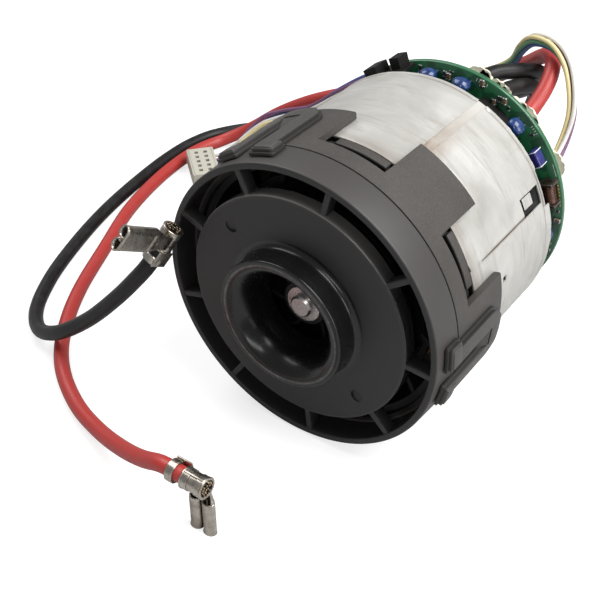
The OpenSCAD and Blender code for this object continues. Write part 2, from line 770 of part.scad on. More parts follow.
module coil(i) {
    inner_end = tip_r + rim_space;
    middle = (tip_r + yoke_r) / 2;
    outer_half = tooth_w / 2 + coil_t + coil_step;
    outer_end = sqrt(yoke_r * yoke_r - outer_half * outer_half) - rim_space;
    color("#a4562b") on_axis() rotate([0, 0, (i - 1) * 360 / tooth_n]) {
        winding(inner_end, middle + eps, coil_t);
        winding(middle, outer_end, coil_t + coil_step);
    }
}

module winding(r0, r1, side) {
    half_w = tooth_w / 2;
    z0 = core_z - insulator_t;
    z1 = core_end + insulator_t;
    difference() {
        translate([r0, -half_w - side, z0 - coil_t]) cube([r1 - r0, 2 * (half_w + side), z1 - z0 + 2 * coil_t]);
        translate([r0 - 1, -half_w, z0]) cube([r1 - r0 + 2, 2 * half_w, z1 - z0]);
    }
}

// Ball bearings, in three parts: outer ring, inner ring and balls
module groove(ball) {
    rotate_extrude() translate([pitch_r, 0]) circle(r = ball);
}

module bearing_outer(z) {
    color("#c9cbce") on_axis() difference() {
        tube(bearing_r, pitch_r + race_step * ball_r, z, z + bearing_w);
        translate([0, 0, z + bearing_w / 2]) groove(ball_r + ball_gap);
    }
}

module bearing_inner(z) {
    color("#c9cbce") on_axis() difference() {
        tube(pitch_r - race_step * ball_r, shaft_r, z, z + bearing_w);
        translate([0, 0, z + bearing_w / 2]) groove(ball_r + ball_gap);
    }
}

module bearing_balls(z) {
    color("#dcdde0") on_axis() for (i = [0:ball_n - 1])
        rotate([0, 0, i * 360 / ball_n]) translate([pitch_r, 0, z + bearing_w / 2]) sphere(r = ball_r);
}

// Control board and what it carries
module circuit_board() {
    color("#1f6b3c") on_axis() difference() {
        translate([0, 0, board_z]) cylinder(r = board_r, h = board_t);
        board_screw_holes(board_z - eps, board_back + eps);
    }
}

module board_screws() {
    color("#a9abad") on_axis() {
        board_screw_holes(board_z - screw_len + edge, board_back + eps);
        for (i = [0:2])
            rotate([0, 0, i * 120]) translate([post_r - post_t / 2, 0, board_back])
                cylinder(r = screw_head_r, h = screw_head_h);
    }
}

module transistors() {
    color("#1b1b1c") on_axis() for (i = [0:transistor_n - 1])
        rotate([0, 0, (i + 0.5) * 360 / transistor_n])
            translate([transistor_at - transistor_w / 2, -transistor_w / 2, board_back])
                cube([transistor_w, transistor_w, transistor_h]);
}

module capacitor(i) {
    boxed = i == 4;
    centre_z = board_z - cap_leg - (boxed ? film_h / 2 : cap_r);
    bevel = cap_t / 4;
    profile = [
        [0, -cap_t / 2], [cap_r - bevel, -cap_t / 2], [cap_r, -cap_t / 2 + bevel],
        [cap_r, cap_t / 2 - bevel], [cap_r - bevel, cap_t / 2], [0, cap_t / 2]
    ];
    color("#2a4fa0") on_axis() at_angle(cap_angles[i - 1]) translate([parts_at, 0, centre_z]) {
        if (boxed) cube([cap_t, film_w, film_h], center = true);
        else rotate([0, 90, 0]) rotate_extrude() polygon(profile);
        for (s = [-1, 1]) translate([0, s * cap_r / 2, 0])
            cylinder(r = cap_t / 8, h = board_z - centre_z);
    }
}

module choke() {
    core_end_w = 0.8;
    color("#8a5a2b") on_axis() at_angle(choke_angle)
        translate([parts_at, 0, board_z - choke_r - edge]) rotate([90, 0, 0]) {
            cylinder(r = choke_r, h = choke_len, center = true);
            for (s = [-1, 1]) translate([-choke_r, -choke_r - edge, s * choke_len / 2 - core_end_w / 2])
                cube([2 * choke_r, 2 * choke_r + edge, core_end_w]);
        }
}

module sealant_bead(p, wire_r) {
    outer = wire_r + sealant_w;
    profile = concat(
        [[0, 0], [outer, 0]],
        arc(outer - sealant_w / 2, sealant_h - sealant_w / 2, sealant_w / 2, 0, 90, 4),
        [[0, sealant_h]]
    );
    translate([p[0], front_y + board_back, p[2]]) rotate([-90, 0, 0]) rotate_extrude() polygon(profile);
}

module wire_sealant() {
    ends = [
        [red_route[0], lead_r], [black_route[0], lead_r], [link_route[0], lead_r],
        [link_route[len(link_route) - 1], lead_r], [signal_route[0], bundle_d / 2]
    ];
    color("#e9e6dd") difference() {
        for (e = ends) sealant_bead(e[0], e[1]);
        for (e = ends)
            translate([e[0][0], front_y + board_back - 1, e[0][2]])
                rotate([-90, 0, 0]) cylinder(r = e[1], h = sealant_h + 2);
    }
}

// Rotor: shaft, impeller, magnets and balance ring
module shaft() {
    profile = [
        [0, shaft_front], [shaft_r - shaft_chamfer, shaft_front], [shaft_r, shaft_front + shaft_chamfer],
        [shaft_r, shaft_end - shaft_chamfer], [shaft_r - shaft_chamfer, shaft_end], [0, shaft_end]
    ];
    color("#d2d3d5") on_axis() rotate_extrude() polygon(profile);
}

module impeller_bush() {
    color("#bfc1c4") on_axis() tube(bush_r, shaft_r, bush_front, plate_z + plate_t);
}

shroud_flow = quarter(eye_r, shroud_front, impeller_r, outlet_z);
shroud_face = quarter(eye_r + shroud_t, shroud_front, impeller_r, outlet_z - shroud_t);
blade_front = bush_front + 2;

module blade_space() {
    blade_root = (bush_r + hub_front_r) / 2;
    polygon(concat(
        [[blade_root, blade_front]],
        [for (p = shroud_flow) if (p[1] > blade_front) p],
        [[impeller_r, plate_z + eps], [blade_root, plate_z + eps]]
    ));
}

function blade_side(side, n = 7) = [for (i = [0:n])
    let (
        share = i / n,
        r = blade_start - 1 + (impeller_r + 1 - blade_start) * share,
        a = blade_sweep * share + side * asin(blade_t / 2 / r)
    ) r * [cos(a), sin(a)]];

module impeller() {
    hub_profile = [
        [bush_r, bush_front + edge], [hub_front_r - edge, bush_front + edge],
        [hub_front_r, bush_front + 2 * edge], [hub_front_r, blade_front + 1],
        [hub_back_r, plate_z], [impeller_r, plate_z], [impeller_r, plate_z + plate_t],
        [bush_r, plate_z + plate_t]
    ];
    color("#232325") on_axis() {
        rotate_extrude() polygon(hub_profile);
        intersection() {
            rotate_extrude() blade_space();
            for (i = [0:blade_n - 1])
                rotate([0, 0, i * 360 / blade_n]) translate([0, 0, blade_front - 1])
                    linear_extrude(plate_z - blade_front + 2)
                        polygon(concat(blade_side(-1), reversed(blade_side(1))));
        }
    }
}

module impeller_shroud() {
    color("#2a2a2c") on_axis() rotate_extrude() polygon(concat(shroud_flow, reversed(shroud_face)));
}

module rotor_core() {
    color("#85878a") on_axis() tube(rotor_core_r, shaft_r, core_z, core_end);
}

module magnet(i) {
    color("#5c5e62") on_axis() rotate([0, 0, (i - 1) * 360 / magnet_n])
        tube_sector(magnet_r, rotor_core_r, core_z, core_end, magnet_arc);
}

module magnet_band() {
    color("#3a3b3d") on_axis() tube(rotor_r, magnet_r, core_z, core_end);
}

module balance_ring() {
    color("#b08a45") on_axis() tube(balance_r, shaft_r, core_end, core_end + balance_t);
}

// Wires: a tube swept through the points of a route
function tangent(route, i) = i == 0 ? unit(route[1] - route[0])
    : i == len(route) - 1 ? unit(route[i] - route[i - 1])
    : unit(unit(route[i] - route[i - 1]) + unit(route[i + 1] - route[i]));
function across(v, t) = unit(v - (v * t) * t);
function frames(route, i = 0, last = [0, 0, 1]) = i == len(route) ? []
    : let (
        t = tangent(route, i),
        start = i == 0 && abs(t * last) > 0.9 ? [1, 0, 0] : last,
        n = across(start, t)
    ) concat([[n, cross(t, n)]], frames(route, i + 1, n));

module wire(route, r, sides) {
    axes = frames(route);
    rings = len(route);
    points = [for (k = [0:rings - 1]) for (j = [0:sides - 1])
        route[k] + r * (cos(360 * j / sides) * axes[k][0] + sin(360 * j / sides) * axes[k][1])];
    walls = [for (k = [0:rings - 2]) for (j = [0:sides - 1])
        let (a = k * sides + j, b = k * sides + (j + 1) % sides) each [
            [a, b, a + sides], [b, b + sides, a + sides]]];
    first = [for (j = [sides - 1:-1:0]) j];
    final = [for (j = [0:sides - 1]) (rings - 1) * sides + j];
    polyhedron(points = points, faces = concat([first], walls, [final]));
}

// Flag terminal: its x runs to the mouth, its y along the barrel, and its rolled edges are on +z
module in_frame(origin, along, mouth) {
    m = unit(mouth - (mouth * unit(along)) * unit(along));
    b = unit(along);
    c = cross(m, b);
    multmatrix([
        [m[0], b[0], c[0], origin[0]], [m[1], b[1], c[1], origin[1]],
        [m[2], b[2], c[2], origin[2]], [0, 0, 0, 1]
    ]) children();
}

module receptacle_profile() {
    curl_r = curl_h / 2;
    cx = receptacle_w / 2 - curl_r;
    curl_end = 170;
    right = concat(
        [[0, 0]],
        arc(cx, curl_r, curl_r, -90, curl_end, 10),
        arc(cx, curl_r, curl_r - terminal_t, curl_end, -90, 10),
        [[0, terminal_t]]
    );
    polygon(right);
    mirror([1, 0]) polygon(right);
}

module terminal(origin, along, mouth) {
    seam = 0.5;
    strand_r = barrel_r / 2;
    grip_clearance = 0.02;
    color("#b9b7b2") in_frame(origin, along, mouth) {
        difference() {
            rotate([-90, 0, 0]) cylinder(r = barrel_r, h = barrel_len);
            translate([-barrel_r, barrel_len / 2, 0]) rotate([0, 45, 0])
                cube([seam, barrel_len + 1, seam], center = true);
        }
        translate([0, -grip_gap - grip_len, 0]) rotate([-90, 0, 0])
            difference() {
                cylinder(r = barrel_r + terminal_t / 2, h = grip_len);
                translate([0, 0, -1]) cylinder(r = lead_r + grip_clearance, h = grip_len + 2);
            }
        translate([-terminal_neck_w / 2, -grip_gap - grip_len, -barrel_r])
            cube([terminal_neck_w, grip_len + grip_gap + 1, terminal_t]);
        translate([0, (barrel_len - terminal_neck_w) / 2, -barrel_r])
            cube([mouth_at - receptacle_len + 1, terminal_neck_w, terminal_t]);
        translate([mouth_at - receptacle_len, barrel_len / 2, -barrel_r])
            rotate([90, 0, 90]) linear_extrude(receptacle_len) receptacle_profile();
        rotate([-90, 0, 0]) cylinder(r = strand_r, h = barrel_len + 1);
    }
}

// Signal plug: its x runs along the row of ways and its wires enter at +y
module signal_plug() {
    plug_len = (way_n - 1) * way_pitch + 2 * plug_end;
    wall = 0.8;
    contact = 0.6;
    color("#ece8de") translate(plug_at) rotate([0, plug_lean, plug_turn]) difference() {
        cube([plug_len, plug_depth, plug_h], center = true);
        for (i = [0:way_n - 1]) translate([(i - (way_n - 1) / 2) * way_pitch, 0, 0]) {
            for (y = [-plug_depth / 6, plug_depth / 6])
                translate([-window_w / 2, y - window_w / 2, plug_h / 2 - wall])
                    cube([window_w, window_w, wall + 1]);
            translate([-contact / 2, -plug_depth / 2 - 1, -contact / 2])
                cube([contact, plug_depth / 2, contact]);
        }
    }
}

fan_cover();
fan_bracket();
latch_clip(1);  // latch_clip_1
latch_clip(2);  // latch_clip_2
latch_clip(3);  // latch_clip_3
motor_housing();
motor_sheet();
seam_strip();
stator_core();
insulator(core_z - insulator_t, core_z);  // front_insulator
insulator(core_end, core_end + insulator_t);  // rear_insulator
coil(1);  // coil_1
coil(2);  // coil_2
coil(3);  // coil_3
coil(4);  // coil_4
coil(5);  // coil_5
coil(6);  // coil_6
coil(7);  // coil_7
coil(8);  // coil_8
coil(9);  // coil_9
bearing_outer(front_bearing_z);  // front_bearing_outer
bearing_outer(rear_bearing_z);  // rear_bearing_outer
circuit_board();
board_screws();
transistors();
choke();
wire_sealant();
capacitor(1);  // capacitor_1
capacitor(2);  // capacitor_2
capacitor(3);  // capacitor_3
capacitor(4);  // capacitor_4
capacitor(5);  // capacitor_5
shaft();
impeller();
impeller_shroud();
impeller_bush();
bearing_inner(front_bearing_z);  // front_bearing_inner
bearing_balls(front_bearing_z);  // front_bearing_balls
bearing_inner(rear_bearing_z);  // rear_bearing_inner
bearing_balls(rear_bearing_z);  // rear_bearing_balls
rotor_core();
magnet(1);  // magnet_1
magnet(2);  // magnet_2
magnet(3);  // magnet_3
magnet(4);  // magnet_4
magnet_band();
balance_ring();
color("#c0392b") wire(red_route, lead_r, 10);  // red_lead
terminal(red_barrel, red_axis, red_mouth);  // red_terminal
color("#2b2b2b") wire(black_route, lead_r, 10);  // black_lead
terminal(black_barrel, black_axis, black_mouth);  // black_terminal
color("#2b2b2b") wire(link_route, lead_r, 10);  // link_wire
color("#7b6fa8") wire(signal_route, bundle_d / 2, 8);  // signal_wires
signal_plug();
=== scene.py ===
"""Looks of a brushless fan motor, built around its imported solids.
Sizes are in millimetres until a mesh is made."""
import json
import math

import bmesh
import bpy
from mathutils import Matrix, Vector, noise
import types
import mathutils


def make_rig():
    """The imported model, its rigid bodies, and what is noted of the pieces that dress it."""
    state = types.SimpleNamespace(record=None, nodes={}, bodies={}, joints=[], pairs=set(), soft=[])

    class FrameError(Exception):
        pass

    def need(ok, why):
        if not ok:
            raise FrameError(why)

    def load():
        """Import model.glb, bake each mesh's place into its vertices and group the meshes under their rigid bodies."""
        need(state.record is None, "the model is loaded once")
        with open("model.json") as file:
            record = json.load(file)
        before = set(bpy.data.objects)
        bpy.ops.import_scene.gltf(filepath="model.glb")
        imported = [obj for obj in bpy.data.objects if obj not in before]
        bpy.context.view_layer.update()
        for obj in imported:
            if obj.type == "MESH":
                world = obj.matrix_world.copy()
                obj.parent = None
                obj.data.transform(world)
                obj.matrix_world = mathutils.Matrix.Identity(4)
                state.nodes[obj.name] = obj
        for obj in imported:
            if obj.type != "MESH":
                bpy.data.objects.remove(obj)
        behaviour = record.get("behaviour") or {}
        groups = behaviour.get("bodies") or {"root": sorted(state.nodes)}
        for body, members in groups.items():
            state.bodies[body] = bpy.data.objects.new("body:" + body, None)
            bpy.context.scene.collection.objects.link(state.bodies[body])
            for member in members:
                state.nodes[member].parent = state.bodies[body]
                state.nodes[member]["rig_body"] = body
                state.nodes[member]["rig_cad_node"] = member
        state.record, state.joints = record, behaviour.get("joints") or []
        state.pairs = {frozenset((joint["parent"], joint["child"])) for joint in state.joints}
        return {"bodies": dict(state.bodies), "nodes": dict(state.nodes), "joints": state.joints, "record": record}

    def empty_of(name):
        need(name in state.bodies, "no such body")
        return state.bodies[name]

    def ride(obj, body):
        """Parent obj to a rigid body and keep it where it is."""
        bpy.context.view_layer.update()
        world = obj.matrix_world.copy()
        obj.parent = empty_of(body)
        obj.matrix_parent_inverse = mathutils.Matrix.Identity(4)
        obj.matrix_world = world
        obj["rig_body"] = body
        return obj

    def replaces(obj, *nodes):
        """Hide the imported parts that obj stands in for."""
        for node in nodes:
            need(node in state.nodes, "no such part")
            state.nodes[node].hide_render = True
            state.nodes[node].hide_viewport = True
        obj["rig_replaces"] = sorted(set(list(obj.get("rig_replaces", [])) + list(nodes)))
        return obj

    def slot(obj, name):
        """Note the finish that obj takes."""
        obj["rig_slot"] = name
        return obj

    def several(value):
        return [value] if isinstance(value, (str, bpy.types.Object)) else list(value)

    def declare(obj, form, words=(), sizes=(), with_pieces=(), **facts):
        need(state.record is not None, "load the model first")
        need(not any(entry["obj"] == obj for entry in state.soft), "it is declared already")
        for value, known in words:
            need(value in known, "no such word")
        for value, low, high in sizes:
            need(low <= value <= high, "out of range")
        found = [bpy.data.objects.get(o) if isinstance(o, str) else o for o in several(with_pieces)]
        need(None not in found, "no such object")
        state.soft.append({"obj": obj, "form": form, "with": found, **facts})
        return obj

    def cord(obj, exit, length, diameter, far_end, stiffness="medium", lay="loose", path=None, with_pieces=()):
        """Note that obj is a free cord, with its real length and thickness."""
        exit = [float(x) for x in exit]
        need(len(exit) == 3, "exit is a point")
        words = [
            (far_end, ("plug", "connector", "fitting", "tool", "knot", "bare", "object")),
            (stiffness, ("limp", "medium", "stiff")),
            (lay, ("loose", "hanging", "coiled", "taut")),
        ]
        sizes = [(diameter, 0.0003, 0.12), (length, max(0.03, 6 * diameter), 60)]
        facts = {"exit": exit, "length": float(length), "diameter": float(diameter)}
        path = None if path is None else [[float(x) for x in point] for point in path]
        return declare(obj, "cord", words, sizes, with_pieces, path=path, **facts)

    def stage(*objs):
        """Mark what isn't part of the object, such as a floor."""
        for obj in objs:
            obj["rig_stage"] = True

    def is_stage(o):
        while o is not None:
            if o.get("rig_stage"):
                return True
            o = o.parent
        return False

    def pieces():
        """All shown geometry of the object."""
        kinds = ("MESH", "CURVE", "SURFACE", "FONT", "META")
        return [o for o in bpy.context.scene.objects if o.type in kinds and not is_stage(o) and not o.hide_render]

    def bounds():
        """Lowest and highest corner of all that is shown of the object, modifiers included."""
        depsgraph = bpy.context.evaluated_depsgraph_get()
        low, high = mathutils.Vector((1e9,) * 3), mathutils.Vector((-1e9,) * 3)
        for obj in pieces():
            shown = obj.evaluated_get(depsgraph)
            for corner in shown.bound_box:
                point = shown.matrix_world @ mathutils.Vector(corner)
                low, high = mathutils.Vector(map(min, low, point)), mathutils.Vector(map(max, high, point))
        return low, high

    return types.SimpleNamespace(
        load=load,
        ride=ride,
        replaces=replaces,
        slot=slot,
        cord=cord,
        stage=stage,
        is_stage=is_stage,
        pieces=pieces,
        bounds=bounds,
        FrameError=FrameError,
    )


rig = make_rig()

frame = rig.load()
CAD = frame["nodes"]
cad_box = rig.bounds()

MM = 0.001
# Place of the motor's axis and of the cover's front edge
AXIS_X, FRONT_Y, AXIS_H = -0.85, -35.3, 40.4

# Distances behind the cover's front edge, and radii
RING_Z, HOUSING_Z, HOUSING_END = 9.4, 22.0, 62.0
BOARD_Z, BOARD_BACK = 72.9, 74.5
RING_R, FRONT_R, SLOT_R, DISC_R = 40.4, 40.0, 38.2, 31.8
COLLAR_R, COLLAR_H, COLLAR_FILLET, LIP_W = 17.9, 6.9, 1.8, 0.9
LIP_R = COLLAR_R - 0.4 - LIP_W
THROAT_R, THROAT_DEPTH, NOZZLE_T, DISC_T = 11.0, 5.0, 1.2, 2.0
RIB_N, RIB_W, RIB_DEPTH, RIB_ANGLE = 9, 1.6, 4.0, 36.4
HOUSING_R, SHEET_R, BOARD_R = 37.5, 38.2, 37.3
SHEET_START, STRIP_ARC = 69.0, 4.0
WINDOW_ANGLE, WINDOW_ARC, WINDOW_FRONT, WINDOW_END = 25.0, 8.0, 50.4, 60.0
SLIT_ANGLE, SLIT_W, SLIT_FRONT, HEM_Z = 381.76, 0.3, 27.5, 60.75
NOTCH_FROM, NOTCH_TO, NOTCH_FRONT, NOTCH_END = 364.9, 367.3, 36.1, 37.9
# The sheet's rear edge is long from one angle to a step, short from there to another, and ragged about them
EDGE_LOW, EDGE_STEP, EDGE_HIGH, EDGE_LONG, EDGE_SHORT, EDGE_ROUGH = -40.0, 18.5, 34.0, 1.3, 0.7, 0.3
CLIP_ANGLES = (-5.0, 115.0, 235.0)
LEG_GAP, LEG_W, HEAD_W, HEAD_LEN, HEAD_BACK = 2.9, 4.3, 1.8, 4.6, 3.4
NECK_BAND_Z, NECK_BAND_R, NECK_BAND_ARC, NECK_GAP_AT = 19.3, 37.85, 22.4, 27.3
BAR_W, CLIP_BACK, LEDGE_W, LEDGE_H, CLIP_T = 4.3, 28.0, 0.8, 0.8, 1.7
COVER_EDGE, SKIRT_T, SKIRT_DEPTH, PARTING = 0.4, 1.0, 4.0, 0.28
DIMPLE_AT, DIMPLE_R, DIMPLE_DEPTH, DIMPLE_LEAN, DIMPLE_ANGLES = 26.1, 1.7, 0.45, 9.0, (137.0, 316.0)
POST_AT, SCREW_R, SCREW_HEAD_R = 31.3, 1.3, 2.4
TRANSISTOR_AT, TRANSISTOR_W, TRANSISTOR_H = 21.5, 6.5, 2.3
PARTS_AT, CHOKE_ANGLE = 34.7, 17.0
CHOKE_LEN, CHOKE_R = 7.0, 2.0
CAP_ANGLES = (99.7, 82.6, 51.5, 34.6, -4.0)
CAP_R, CAP_T, CAP_LEG, FILM_W, FILM_H, LEG_WIRE_R = 2.5, 2.6, 0.8, 6.2, 4.2, 0.27
LEAD_D, THIN_D, BUNDLE_D, SEALANT_H = 4.4, 1.25, 3.2, 3.0

# Routes of the leads as (x, y, z)
RED_ROUTE = [
    (20, 39.2, 67), (20, 42.3, 67), (20.4, 45.6, 68.7), (20.9, 49.4, 71.5), (20.6, 53.4, 74.4),
    (19, 57.6, 76.3), (15.9, 61.6, 75.9), (12, 65.2, 73), (7, 68.8, 68.4), (-8, 73.5, 57),
    (-30, 77, 45.5), (-54, 78, 37.6), (-73, 77.6, 29), (-89, 77.6, 19), (-104, 77.2, 7.2),
    (-112, 71.5, 2.6), (-115, 63, 2.2), (-115.6, 53, 2.2), (-113.8, 37, 2.2), (-108.5, 16, 2.2),
    (-99.2, -6, 2.2), (-90, -26.6, 2.2), (-82.5, -39.3, 2.2), (-74, -50.2, 2.2), (-65, -58, 2.3),
    (-52.5, -65, 2.7), (-39, -70, 5), (-27, -73.6, 8.8), (-17.5, -76, 13), (-10.5, -77, 16.6),
    (-7.2, -77.2, 17.2), (-2.4, -77.2, 17.2),
]
BLACK_ROUTE = [
    (6, 39.2, 73.9), (6, 42.6, 73.9), (7.8, 47.2, 74.2), (10.6, 51.6, 73.6), (13, 55.6, 72.8),
    (14.6, 60, 71), (14, 64.4, 67.6), (10, 68.5, 62.2), (2, 73, 55.6), (-14, 79, 44.8),
    (-34, 84, 32.5), (-60, 87.4, 20), (-90, 87.6, 9), (-108, 83.6, 3.6), (-116.8, 75, 2.2),
    (-120.2, 64, 2.2), (-120.6, 50, 2.2), (-118.8, 33, 2.2), (-114.8, 11, 2.2), (-109, -9, 2.2),
    (-101.2, -28.7, 2.2), (-92.6, -42.5, 2.4), (-83, -49.6, 4.6), (-73, -51.4, 9.6),
    (-61.3, -49.6, 18.6), (-50.6, -47.2, 30), (-44.6, -45.3, 37.6), (-41.57, -43.97, 41.89),
    (-38.8, -41.1, 47.65),
]
LINK_ROUTE = [
    (11.8, 39.2, 71.4), (11.8, 42.6, 71.4), (12.8, 46.8, 71.2), (14.4, 51, 70.6),
    (15.4, 55.2, 68.6), (15, 58.8, 64.4), (13.2, 59.8, 58.8), (11.2, 57.8, 53.4),
    (10, 53.4, 49.8), (9.6, 48, 48.2), (9.6, 42.6, 48), (9.6, 39.2, 48),
]
SIGNAL_ROUTE = [
    (30, 39.2, 57), (30, 42.3, 57), (30, 45, 59), (30, 47.4, 62.2), (29.7, 49.6, 67.2),
    (27.6, 51.8, 73.4), (23.8, 54.2, 78.8), (18.6, 56, 81.8), (12.6, 57.6, 81.2),
    (8.4, 60.4, 76.6), (4.6, 63.6, 70), (-6, 66.4, 62.4), (-24, 69, 56.4), (-44, 70.6, 49.4),
    (-58, 70, 39.6), (-68, 69.4, 31), (-82, 68.4, 21.6), (-91, 65.4, 15), (-96.4, 60.8, 9),
    (-98.6, 57.2, 5.2), (-100.7, 54.1, 4.1),
]
# Directions of each terminal's barrel and of its receptacle
RED_AXIS, RED_MOUTH = (1, 0, 0), (0, 0, -1)
BLACK_AXIS, BLACK_MOUTH = (0.395, 0.410, 0.823), (-0.129, -0.862, 0.490)
BARREL_R, BARREL_LEN, GRIP_LEN, GRIP_GAP = 2.8, 6.5, 2.3, 2.2
MOUTH_AT, RECEPTACLE_LEN, RECEPTACLE_W, CURL_H, METAL_T = 17.2, 10.5, 7.6, 2.8, 0.4
NECK_W, CURL_SPREAD = 4.6, 1.26
PLUG_AT, PLUG_TURN, PLUG_LEAN = (-103.8, 50.3, 4.1), -40.0, 9.0
WAY_N, WAY_PITCH, PLUG_END, PLUG_DEPTH, PLUG_H = 5, 2.5, 2.45, 9.8, 5.7


# ---------------------------------------------------------------- places and meshes

def spot(radius, angle, z):
    """Point at a radius and angle about the motor's axis, z behind the cover's front edge, in millimetres."""
    a = math.radians(angle)
    return Vector((AXIS_X + radius * math.cos(a), FRONT_Y + z, AXIS_H + radius * math.sin(a)))


def shown(name, data):
    """Puts a mesh, a lamp or a camera into the scene."""
    made = bpy.data.objects.new(name, data)
    bpy.context.scene.collection.objects.link(made)
    return made


def smoothed(mesh, sharp):
    """Shades a mesh smooth, with its edges sharp above an angle in degrees."""
    mesh.shade_smooth()
    mesh.set_sharp_from_angle(angle=math.radians(sharp))


def mesh_of(name, points, faces):
    """A mesh from points in millimetres."""
    mesh = bpy.data.meshes.new(name)
    mesh.from_pydata([tuple(Vector(p) * MM) for p in points], [], faces)
    return mesh


def edited(name, bm):
    """A piece from an edit mesh, which is freed."""
    mesh = bpy.data.meshes.new(name)
    bm.to_mesh(mesh)
    bm.free()
    return shown(name, mesh)


def mesh_piece(name, points, faces, sharp=35.0):
    """A piece from points in millimetres, cleaned and with its faces outwards."""
    mesh = mesh_of(name, points, faces)
    finish_mesh(mesh, sharp)
    return shown(name, mesh)


def finish_mesh(mesh, sharp):
    """Cleans a mesh, turns its faces outwards and smooths it."""
    mesh.validate()
    bm = bmesh.new()
    bm.from_mesh(mesh)
    bmesh.ops.remove_doubles(bm, verts=bm.verts, dist=1e-7)
    bmesh.ops.delete(bm, geom=[v for v in bm.verts if not v.link_faces], context="VERTS")
    bmesh.ops.recalc_face_normals(bm, faces=bm.faces)
    bm.to_mesh(mesh)
    bm.free()
    smoothed(mesh, sharp)


def band_faces(rows, n, closed=True, ring=True):
    """Quads between neighbouring rows of n points. Closed joins the last row to the first, and ring joins
    the two ends of a row."""
    return [(a + i, a + (i + 1) % n, b + (i + 1) % n, b + i)
            for a, b in ((k * n, (k + 1) % rows * n) for k in range(rows if closed else rows - 1))
            for i in range(n if ring else n - 1)]


def circle(sides):
    """Angles of even steps round a circle."""
    return [2 * math.pi * k / sides for k in range(sides)]


def revolved(place, profile, sides):
    """Points of a profile of (radius, z), turned about a matrix's z."""
    return [place @ Vector((r * math.cos(a), r * math.sin(a), z)) for a in circle(sides) for r, z in profile]


def bevelled(piece, width, segments=2, angle=35.0):
    """Rounds a piece's edges, width in millimetres, and keeps the result as its mesh."""
    if width <= 0:
        return piece
    mod = piece.modifiers.new("round", "BEVEL")
    mod.width = width * MM
    mod.segments = segments
    mod.limit_method = "ANGLE"
    mod.angle_limit = math.radians(angle)
    mod.harden_normals = False
    return settled(piece, 50.0)


def settled(piece, sharp=None):
    """Turns a piece's modifiers into its plain mesh."""
    graph = bpy.context.evaluated_depsgraph_get()
    graph.update()
    mesh = bpy.data.meshes.new_from_object(piece.evaluated_get(graph))
    piece.modifiers.clear()
    old = piece.data
    piece.data = mesh
    mesh.name = piece.name
    if old.users == 0:
        bpy.data.meshes.remove(old)
    if sharp is not None:
        smoothed(mesh, sharp)
    return piece


def joined(name, pieces):
    """One object from several, whose material slots are kept."""
    with bpy.context.temp_override(active_object=pieces[0], object=pieces[0],
                                   selected_objects=pieces, selected_editable_objects=pieces):
        bpy.ops.object.join()
    pieces[0].name = pieces[0].data.name = name
    return pieces[0]


def paint(piece, material):
    """Gives a piece, or a list of pieces, one material."""
    if isinstance(piece, list):
        return [paint(p, material) for p in piece]
    piece.data.materials.clear()
    piece.data.materials.append(material)
    return piece


def softened(corners, steps=5):
    """A closed outline from corners (a, b, radius), each rounded to its radius."""
    out = []
    n = len(corners)
    for i, (a, b, radius) in enumerate(corners):
        here = Vector((a, b))
        before = Vector(corners[i - 1][:2]) - here
        after = Vector(corners[(i + 1) % n][:2]) - here
        if radius <= 0 or before.length < 1e-6 or after.length < 1e-6:
            out.append((a, b))
            continue
        turn = before.angle(after)
        if turn > math.radians(176):
            out.append((a, b))
            continue
        cut = min(radius / math.tan(turn / 2), before.length * 0.48, after.length * 0.48)
        start, end = here + before.normalized() * cut, here + after.normalized() * cut
        for k in range(steps + 1):
            t = k / steps
            p = start.lerp(here, t).lerp(here.lerp(end, t), t)
            out.append((p.x, p.y))
    return out


def turned(name, profile, parts=160, sharp=35.0):
    """A solid of revolution about the motor's axis from a closed profile of (radius, z)."""
    points = [spot(r, 360.0 * k / parts, z) for k in range(parts) for r, z in profile]
    return mesh_piece(name, points, band_faces(parts, len(profile)), sharp)


def wrapped(name, outline, inner, outer, step=1.2, bevel=0.2, segments=2):
    """A curved plate about the axis: an outline of (angle, z), from an inner to an outer radius."""
    bm = bmesh.new()
    scale = math.radians(outer)
    verts = [bm.verts.new((a * scale, z, 0)) for a, z in outline]
    bm.faces.new(verts)
    low, high = min(v.co.x for v in verts), max(v.co.x for v in verts)
    count = max(1, int((high - low) / step))
    for k in range(1, count):
        x = low + (high - low) * k / count
        bmesh.ops.bisect_plane(bm, geom=bm.verts[:] + bm.edges[:] + bm.faces[:], dist=1e-5,
                               plane_co=(x, 0, 0), plane_no=(1, 0, 0))
    lift = bmesh.ops.extrude_face_region(bm, geom=bm.faces[:])
    for v in lift["geom"]:
        if isinstance(v, bmesh.types.BMVert):
            v.co.z = outer - inner
    for v in bm.verts:
        v.co = spot(inner + v.co.z, v.co.x / scale, v.co.y) * MM
    bmesh.ops.recalc_face_normals(bm, faces=bm.faces)
    piece = edited(name, bm)
    smoothed(piece.data, 35.0)
    return bevelled(piece, bevel, segments)


def block(name, size, place, bevel=0.15, segments=2):
    """A box of a size, rounded, put in place by a matrix in millimetres."""
    hx, hy, hz = (s / 2 for s in size)
    corners = [(x, y, z) for x in (-hx, hx) for y in (-hy, hy) for z in (-hz, hz)]
    faces = [(0, 1, 3, 2), (4, 6, 7, 5), (0, 4, 5, 1), (2, 3, 7, 6), (0, 2, 6, 4), (1, 5, 7, 3)]
    return bevelled(mesh_piece(name, [place @ Vector(c) for c in corners], faces), bevel, segments)


